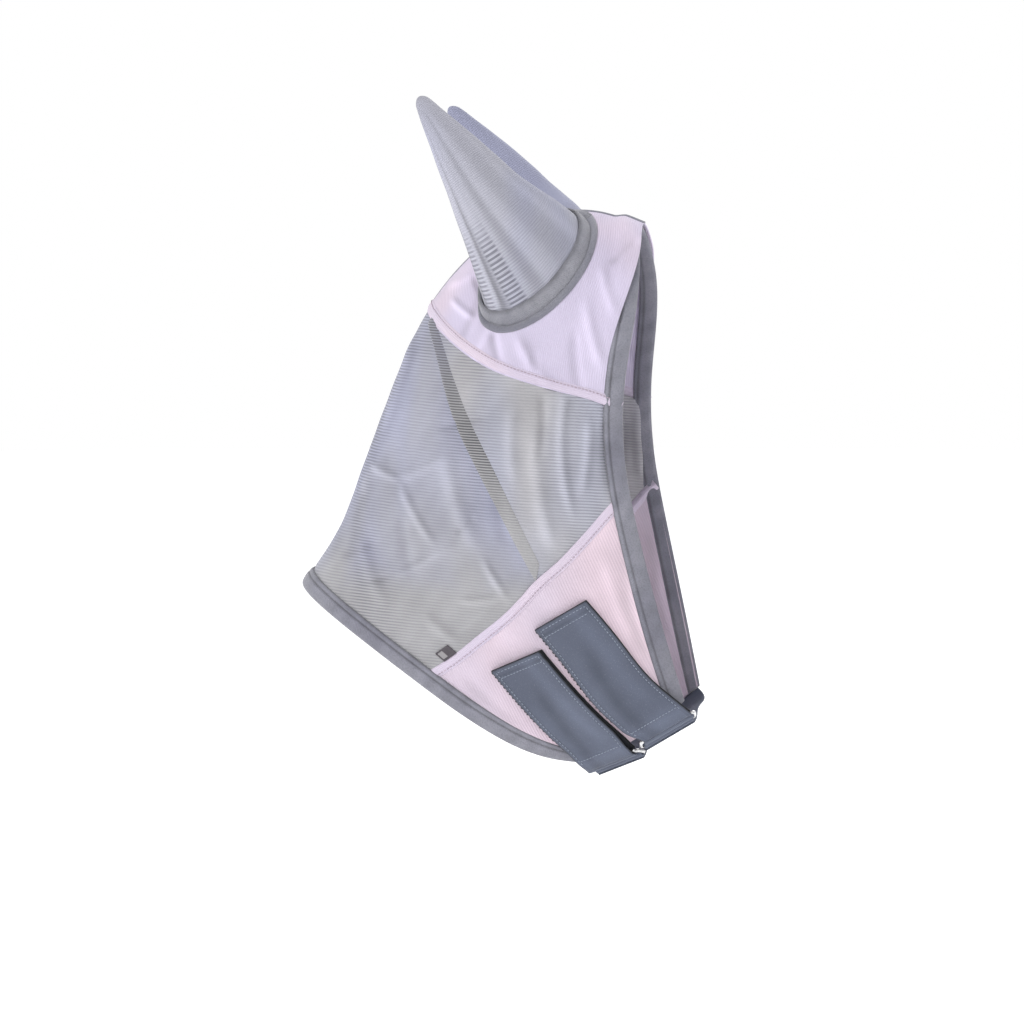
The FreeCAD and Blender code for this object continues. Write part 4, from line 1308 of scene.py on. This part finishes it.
class Strap:
    """One jaw strap: its path on the left cheek, and the frame of its ring, as in the CAD."""

    def __init__(self, name):
        self.known = {}
        self.centre = natural_spline(STRAPS[name]["centre"])
        across = STRAPS[name]["across"]
        self.side = unit(np.array([across[0], across[1]]))
        ends = form(*self.at(1.0, np.linspace(-STRAP_WIDTH / 2, STRAP_WIDTH / 2, 9)))
        self.across = unit(ends[-1] - ends[0])
        out = normal(*self.at(1.0, np.array(0.0)))
        self.out = unit(out - self.across * (out @ self.across))
        self.down = -np.cross(self.out, self.across)
        middle_of = (ends[0] + ends[-1]) / 2
        self.foot = middle_of + self.out * max((ends - middle_of) @ self.out)
        self.bar = self.foot + self.out * (STRAP_BASE[1] + STRAP_CLEAR + WIRE_R)
        reach = np.array([0, cos(radians(RING_SLOPE)), -sin(radians(RING_SLOPE))])
        self.reach = unit(reach - self.across * (reach @ self.across))
        self.tab_bar = self.bar + self.reach * RING_REACH
        below = np.cross(self.reach, self.across)
        self.below = -below if below[2] > 0 else below
        self.lines = np.linspace(-STRAP_WIDTH / 2, STRAP_WIDTH / 2, STRAP_LINES)

    def at(self, share, w):
        """The (s, v) of places on the strap. They are kept, as each layer asks for the same ones."""
        share, w = arrays(share, w)
        key = share.tobytes() + w.tobytes()
        if key not in self.known:
            xz = self.centre(share) + self.side * w[..., None]
            self.known[key] = lift(xz[..., 0], xz[..., 1])
        return self.known[key]

    def straight(self, share, w, height):
        """The same place on a strap that lies straight across, just clear of the cheek."""
        half = STRAP_WIDTH / 2
        low = place(*self.at(share, -half), height)
        high = place(*self.at(share, half), height)
        middle_of = (low + high) / 2
        sag = np.maximum((place(*self.at(share, 0.0 * w), height) - middle_of) @ self.out, 0)
        return middle_of + (high - low) * (w / STRAP_WIDTH)[..., None] + self.out * sag[..., None]

    def point(self, share, w, height):
        """Points of the strap. It follows the cheek, and lies straight across at the ring."""
        share, w, height = arrays(share, w, height)
        flat = ease((share - 0.75) / 0.25)[..., None]
        at_ring = self.foot + self.across * w[..., None] + self.out * height[..., None]
        off = at_ring - self.straight(np.ones_like(share), w, height)
        settle = off * ease((share - 0.8) / 0.2)[..., None]
        here = place(*self.at(share, w), height)
        return here * (1 - flat) + (self.straight(share, w, height) + settle) * flat

    def rise(self, share):
        """How far the flap stands off its tape there, so that it clears the ring's wire."""
        need = STRAP_BASE[1] + 2 * (STRAP_CLEAR + WIRE_R) - FLAP[0]
        return need * ease((share - 0.78) / 0.16)

    def curl(self, share, w):
        """How far the flap's free end and edges stand up."""
        return 0.5 * (ease((0.12 - share) / 0.12) + 0.6 * np.abs(w / STRAP_WIDTH * 2) ** 6)

    def layer(
        self, name, first, last, low, high, material,
        width=STRAP_WIDTH, rises=False, ragged=0.0, shift=0.0,
    ):
        """One strip of the strap between two shares of its length and two heights."""
        lines = np.linspace(-width / 2, width / 2, STRAP_LINES)
        share, w = grid_of(np.linspace(first, last, 90), lines)
        up = self.rise(share) + self.curl(share, w) if rises else 0.0 * share
        across = w + shift
        if ragged:
            bite = np.sign(np.sin(share * 190)) * ragged
            across = across + np.where(w < -width / 2 + 0.1, bite, 0)
        inner = self.point(share, across, low + up)
        outer = self.point(share, across, high + up)
        edge = 1 - np.minimum(1, width / 2 - np.abs(w))
        round_off = (edge * (high - low) * RIM_ROUNDING)[..., None] * unit(inner - outer)
        uv = pair(w, lengths(outer, 0))
        return tidy(slab(name, outer + round_off, inner, uv, material, shade=self.tone(share, w)))

    def tone(self, share, w):
        """Darker edges and free end, painted shade at the stitch line and in a lengthwise wave,
        and a painted highlight along the middle and across the bend by the ring.
        """
        inset = STRAP_WIDTH / 2 - np.abs(w)
        # Painted shade along the stitch line; the outermost edges are darker too.
        edge = 0.6 * (1 - ease(inset / 1.3)) + 0.16 * hump(inset - STITCH_INSET, 0.8)
        # Painted shade: a darker lengthwise wave where the strap bends round under the jaw.
        wave = 0.24 * hump(w + 5 + 14 * (share - 0.5), 5) * ease((share - 0.15) / 0.3)
        # Painted highlight: a lighter band along the middle, and another across the bend by the ring.
        painted_highlight = 0.22 * hump(w - 9, 6) * ease((0.95 - share) / 0.3) + 0.2 * hump(share - 0.93, 0.05)
        end = 0.3 * (1 - ease(share / 0.012)) + 0.2 * hump(share - 0.055, 0.008)
        return painted_highlight - edge - wave - end

    def fold(self, name, material):
        """The half turn of webbing round the ring's wire."""
        angle, w = grid_of(np.linspace(0, pi, 25), self.lines)
        way = -self.out * np.cos(angle)[..., None] + self.down * np.sin(angle)[..., None]
        base = self.bar + self.across * w[..., None]
        inner, outer = WIRE_R + STRAP_CLEAR, WIRE_R + STRAP_CLEAR + WEBBING
        uv = pair(w, angle * outer)
        return tidy(slab(name, base + way * outer, base + way * inner, uv, material))

    def tab(self, name, material):
        """The webbing on the right: a loop round the ring's wire, then up the right cheek."""
        strip = slab(name, self.tab_layer(1), self.tab_layer(0), None, material)
        angle, w = grid_of(np.linspace(0, 2 * pi, 41), self.lines)
        way = self.reach * np.cos(angle)[..., None] + self.below * np.sin(angle)[..., None]
        base = self.tab_bar + self.across * w[..., None]
        inner = WIRE_R + LOOP_CLEAR
        loop = slab(name + "_loop", base + way * (inner + WEBBING), base + way * inner, None, material)
        return [tidy(strip), tidy(loop)]

    def tab_layer(self, layer):
        """One face of the webbing from under the ring's wire up onto the right cheek."""
        w = self.lines
        start = self.tab_bar + self.across * w[:, None] + self.reach * 0.6
        start = start + self.below * (WIRE_R + LOOP_CLEAR + WEBBING + 0.1 + layer * WEBBING)
        height = STRAP_BASE[0] + 0.2 + layer * WEBBING
        cheek = []
        for back in np.linspace(0, TAB_SHARE, 6):
            here = place(*self.at(0.97 - back, w), height)
            cheek.append(here * np.array([1, -1, 1]))
        drop = np.array([0, 0, -TAB_SAG])
        under = [start, start * 0.67 + cheek[0] * 0.33 + drop, start * 0.33 + cheek[0] * 0.67 + drop]
        lines = np.stack(under + cheek, axis=0)
        t = np.linspace(0, 1, 110)
        return np.stack([natural_spline(lines[:, k])(t) for k in range(len(w))], axis=1)

    def on_flap(self, share, w):
        """Places just in the flap's outer face, with the directions up from it."""
        up = FLAP[1] - 0.05 + self.rise(share) + self.curl(share, w)
        here, above = self.point(share, w, up), self.point(share, w, up + 1)
        return here, unit(above - here)

    def outline(self, last):
        """The stitch line round the flap's edge, up one side from last and down the other."""
        half = STRAP_WIDTH / 2 - STITCH_INSET
        top = STITCH_INSET / FLAP_LENGTH
        share = np.r_[np.linspace(last, top, 90), np.full(30, top), np.linspace(top, last, 90)]
        w = np.r_[np.full(90, -half), np.linspace(-half, half, 30), np.full(90, half)]
        return self.on_flap(share, w)


def strap_layers(strap, name, body):
    """The base and loop tape on the cheek, and the flap with its hook tape."""
    low, high = TAPE_SPAN
    layers = (
        ("strap_base", "mask", "webbing", 0.0, STRAP_END, STRAP_BASE, STRAP_UNDER, BASE_SHAPE),
        ("loop_tape", "mask", "loop_tape", 0.0, high, LOOP_TAPE, LOOPS, TAPE_SHAPE),
        ("hook_tape", body, "hook_tape", low, high, HOOK_TAPE, HOOKS, HOOK_SHAPE),
        ("flap", body, "webbing", 0.0, STRAP_END, FLAP, STRAP, {"rises": True}),
    )
    for kind, rides, slot, first, last, heights, material, shape in layers:
        node = f"{kind}_{name}"
        tie(strap.layer(node, first, last, *heights, material, **shape), rides, slot, node)


def strap_stitches(strap, name, body):
    """The stitching on the flap: round its edge, and across it by the ring and at its end."""
    path, up = strap.outline(0.93)
    tie(stitch_row(f"flap_stitches_{name}", path, up, THREAD), body, "webbing")
    half = STRAP_WIDTH / 2 - STITCH_INSET
    for row, share in (("ring", 0.90), ("end", 0.075)):
        path, up = strap.on_flap(np.full(40, share), np.linspace(-half, half, 40))
        tie(stitch_row(f"flap_{row}_stitches_{name}", path, up, THREAD, pitch=2.8), body, "webbing")


def jaw_straps():
    """Both straps, with their folds round the rings, the tabs on the right, and the rings' steel."""
    for name in STRAPS:
        strap = Strap(name)
        body = f"flap_{name}"
        strap_layers(strap, name, body)
        fold = tie(strap.fold(f"strap_fold_{name}", STRAP), None, "webbing", f"strap_fold_{name}")
        far = strap.out * (WIRE_R + STRAP_CLEAR + WEBBING)
        start, end = (strap.bar - far) * MM, (strap.bar + far) * MM
        tuple(start)
        tuple(end)
        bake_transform(fold)
        strap_stitches(strap, name, body)
        strip, loop = strap.tab(f"ring_tab_{name}", STRAP)
        tie(strip, "mask", "webbing", f"ring_tab_{name}")
        tie(loop, "mask", "webbing")
        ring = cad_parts[f"ring_{name}"]
        ring.data.materials.clear()
        ring.data.materials.append(STEEL)


# ---------------------------------------------------------------- label

LABEL_AT = (-110.8, -351.6)
LABEL_ALONG = (10.4, 7.5)
LABEL_ACROSS = (-7.2, 6.1)
LABEL_NEAR = (0.59, 0.875)
LABEL_ABOVE_MESH = 1.3


def side_label():
    """A blank label sewn in beside the cheek seam, with a pale field at its lower end."""
    def spot(p, q):
        x = LABEL_AT[0] + (p - 0.5) * LABEL_ACROSS[0] + (q - 0.5) * LABEL_ALONG[0]
        z = LABEL_AT[1] + (p - 0.5) * LABEL_ACROSS[1] + (q - 0.5) * LABEL_ALONG[1]
        return pair(*lift(x, z, *LABEL_NEAR))

    def high(s, v, base):
        return LABEL_ABOVE_MESH + mesh_height(s, v, base)

    obj = panel("side_label", spot, high, 0.7, 14, 20, LABEL_CLOTH, cut=False)

    def field_spot(p, q):
        return spot(0.2 + 0.68 * p, 0.1 + 0.34 * q)

    def field_high(s, v, base):
        return high(s, v, base) + 0.5

    field = panel("side_label_field", field_spot, field_high, 0.35, 10, 10, LABEL_FIELD, cut=False)
    tie(field, "mask", "label")
    return tie(obj, "mask", "label", "side_label")


# ---------------------------------------------------------------- stage

FLOOR_Z = -0.62
LAMPS_AIM_AT = (-0.08, 0, -0.2)
# Lamps: name, place, power and size.
STUDIO_LAMPS = (
    ("key", (-1.6, -1.9, 1.9), 50, 1.0),
    ("fill", (1.8, -1.8, 0.6), 12, 1.6),
    ("back", (0.8, 2.0, 1.6), 24, 1.5),
)


def stage():
    """A pale floor, the lamps, and a white world."""
    spot = (0, 0, FLOOR_Z)
    bpy.ops.mesh.primitive_circle_add(vertices=96, radius=9, fill_type="NGON", location=spot)
    floor = bpy.context.object
    floor.name = "floor"
    k = Shader("floor_paint")
    paint = k.mix(k.noise(3), (0.90, 0.90, 0.90), (0.93, 0.93, 0.93))
    k.finish(paint, roughness=0.9, Emission_Strength=0.42)
    k.surface.inputs["Emission Color"].default_value = (1, 1, 1, 1)
    floor.data.materials.append(k.material)
    bpy.context.scene.world = studio_world()
    for name, spot, energy, size in STUDIO_LAMPS:
        light = bpy.data.lights.new(name, "AREA")
        light.energy, light.size = energy, size
        lamp = bpy.data.objects.new(name, light)
        lamp.location = spot
        aim(lamp, LAMPS_AIM_AT)
        bpy.context.scene.collection.objects.link(lamp)
    bpy.context.scene.view_settings.view_transform = "Standard"


# The world's light: 0.38 in front, where y is below -0.6, up to 1 behind, where y is over 0.5.
WORLD_SPAN = (-0.6, 0.5, 0.38, 1.0)


def studio_world():
    """White behind the mask, darker in front of it, so that the key light shapes the folds."""
    world = bpy.data.worlds.new("studio")
    world.use_nodes = True
    tree = world.node_tree
    direction = tree.nodes.new("ShaderNodeTexCoord")
    split = tree.nodes.new("ShaderNodeSeparateXYZ")
    span = tree.nodes.new("ShaderNodeMapRange")
    tree.links.new(direction.outputs["Generated"], split.inputs[0])
    tree.links.new(split.outputs[1], span.inputs[0])
    for socket, value in zip(span.inputs[1:5], WORLD_SPAN):
        socket.default_value = value
    background = tree.nodes["Background"]
    background.inputs[0].default_value = (1, 1, 1, 1)
    tree.links.new(span.outputs[0], background.inputs[1])
    return world


def aim(obj, target):
    """Turns a lamp or the camera towards a place."""
    way = Vector(target) - obj.location
    obj.rotation_euler = way.to_track_quat("-Z", "Y").to_euler()


CAMERA_AT = (radians(11), radians(4), 2.4)
CAMERA_TARGET = np.array([-0.0717, 0.0, -0.2424])
SENSOR = 36
VIEW_WIDTH = 0.819
NEAR_SIDE = 0.08


def camera():
    """The camera, which sees VIEW_WIDTH metres across at the near side of the mask."""
    azimuth, elevation, distance = CAMERA_AT
    data = bpy.data.cameras.new("camera")
    data.sensor_width = SENSOR
    data.lens = SENSOR * (distance - NEAR_SIDE) / VIEW_WIDTH
    obj = bpy.data.objects.new("camera", data)
    back = np.array([sin(azimuth) * cos(elevation), -cos(azimuth) * cos(elevation), sin(elevation)])
    obj.location = CAMERA_TARGET + back * distance
    aim(obj, CAMERA_TARGET)
    data.clip_end = 60
    bpy.context.scene.collection.objects.link(obj)
    bpy.context.scene.camera = obj


# ---------------------------------------------------------------- the whole mask

camera()
stage()
face_panel()
both_sides(side_panel, "side_mesh", "side_mesh_{side}", slot="side_mesh")
both_sides(dart_fold, "dart_seam", "dart_seam_{side}", slot="dart")
both_sides(crown_panel, "crown", "crown_{side}", slot="crown")
both_sides(cheek_panel, "cheek", "cheek_{side}", slot="cheek")
sewn_seam("crown", crown_seam, 0.0, 0.985, crown_height, TO_CROWN)
sewn_seam("cheek", cheek_seam, 0.02, 0.95, cheek_height, TO_CHEEK)
edge_binding("rear_binding", 0)
edge_binding("nose_binding", 1)
poll_strip()
both_sides(ear_flange, "ear_flange", slot="ear_band")
both_sides(ear_cuff, "ear_band", "ear_band_{side}", slot="ear_band")
ear_covers()
jaw_straps()
side_label()
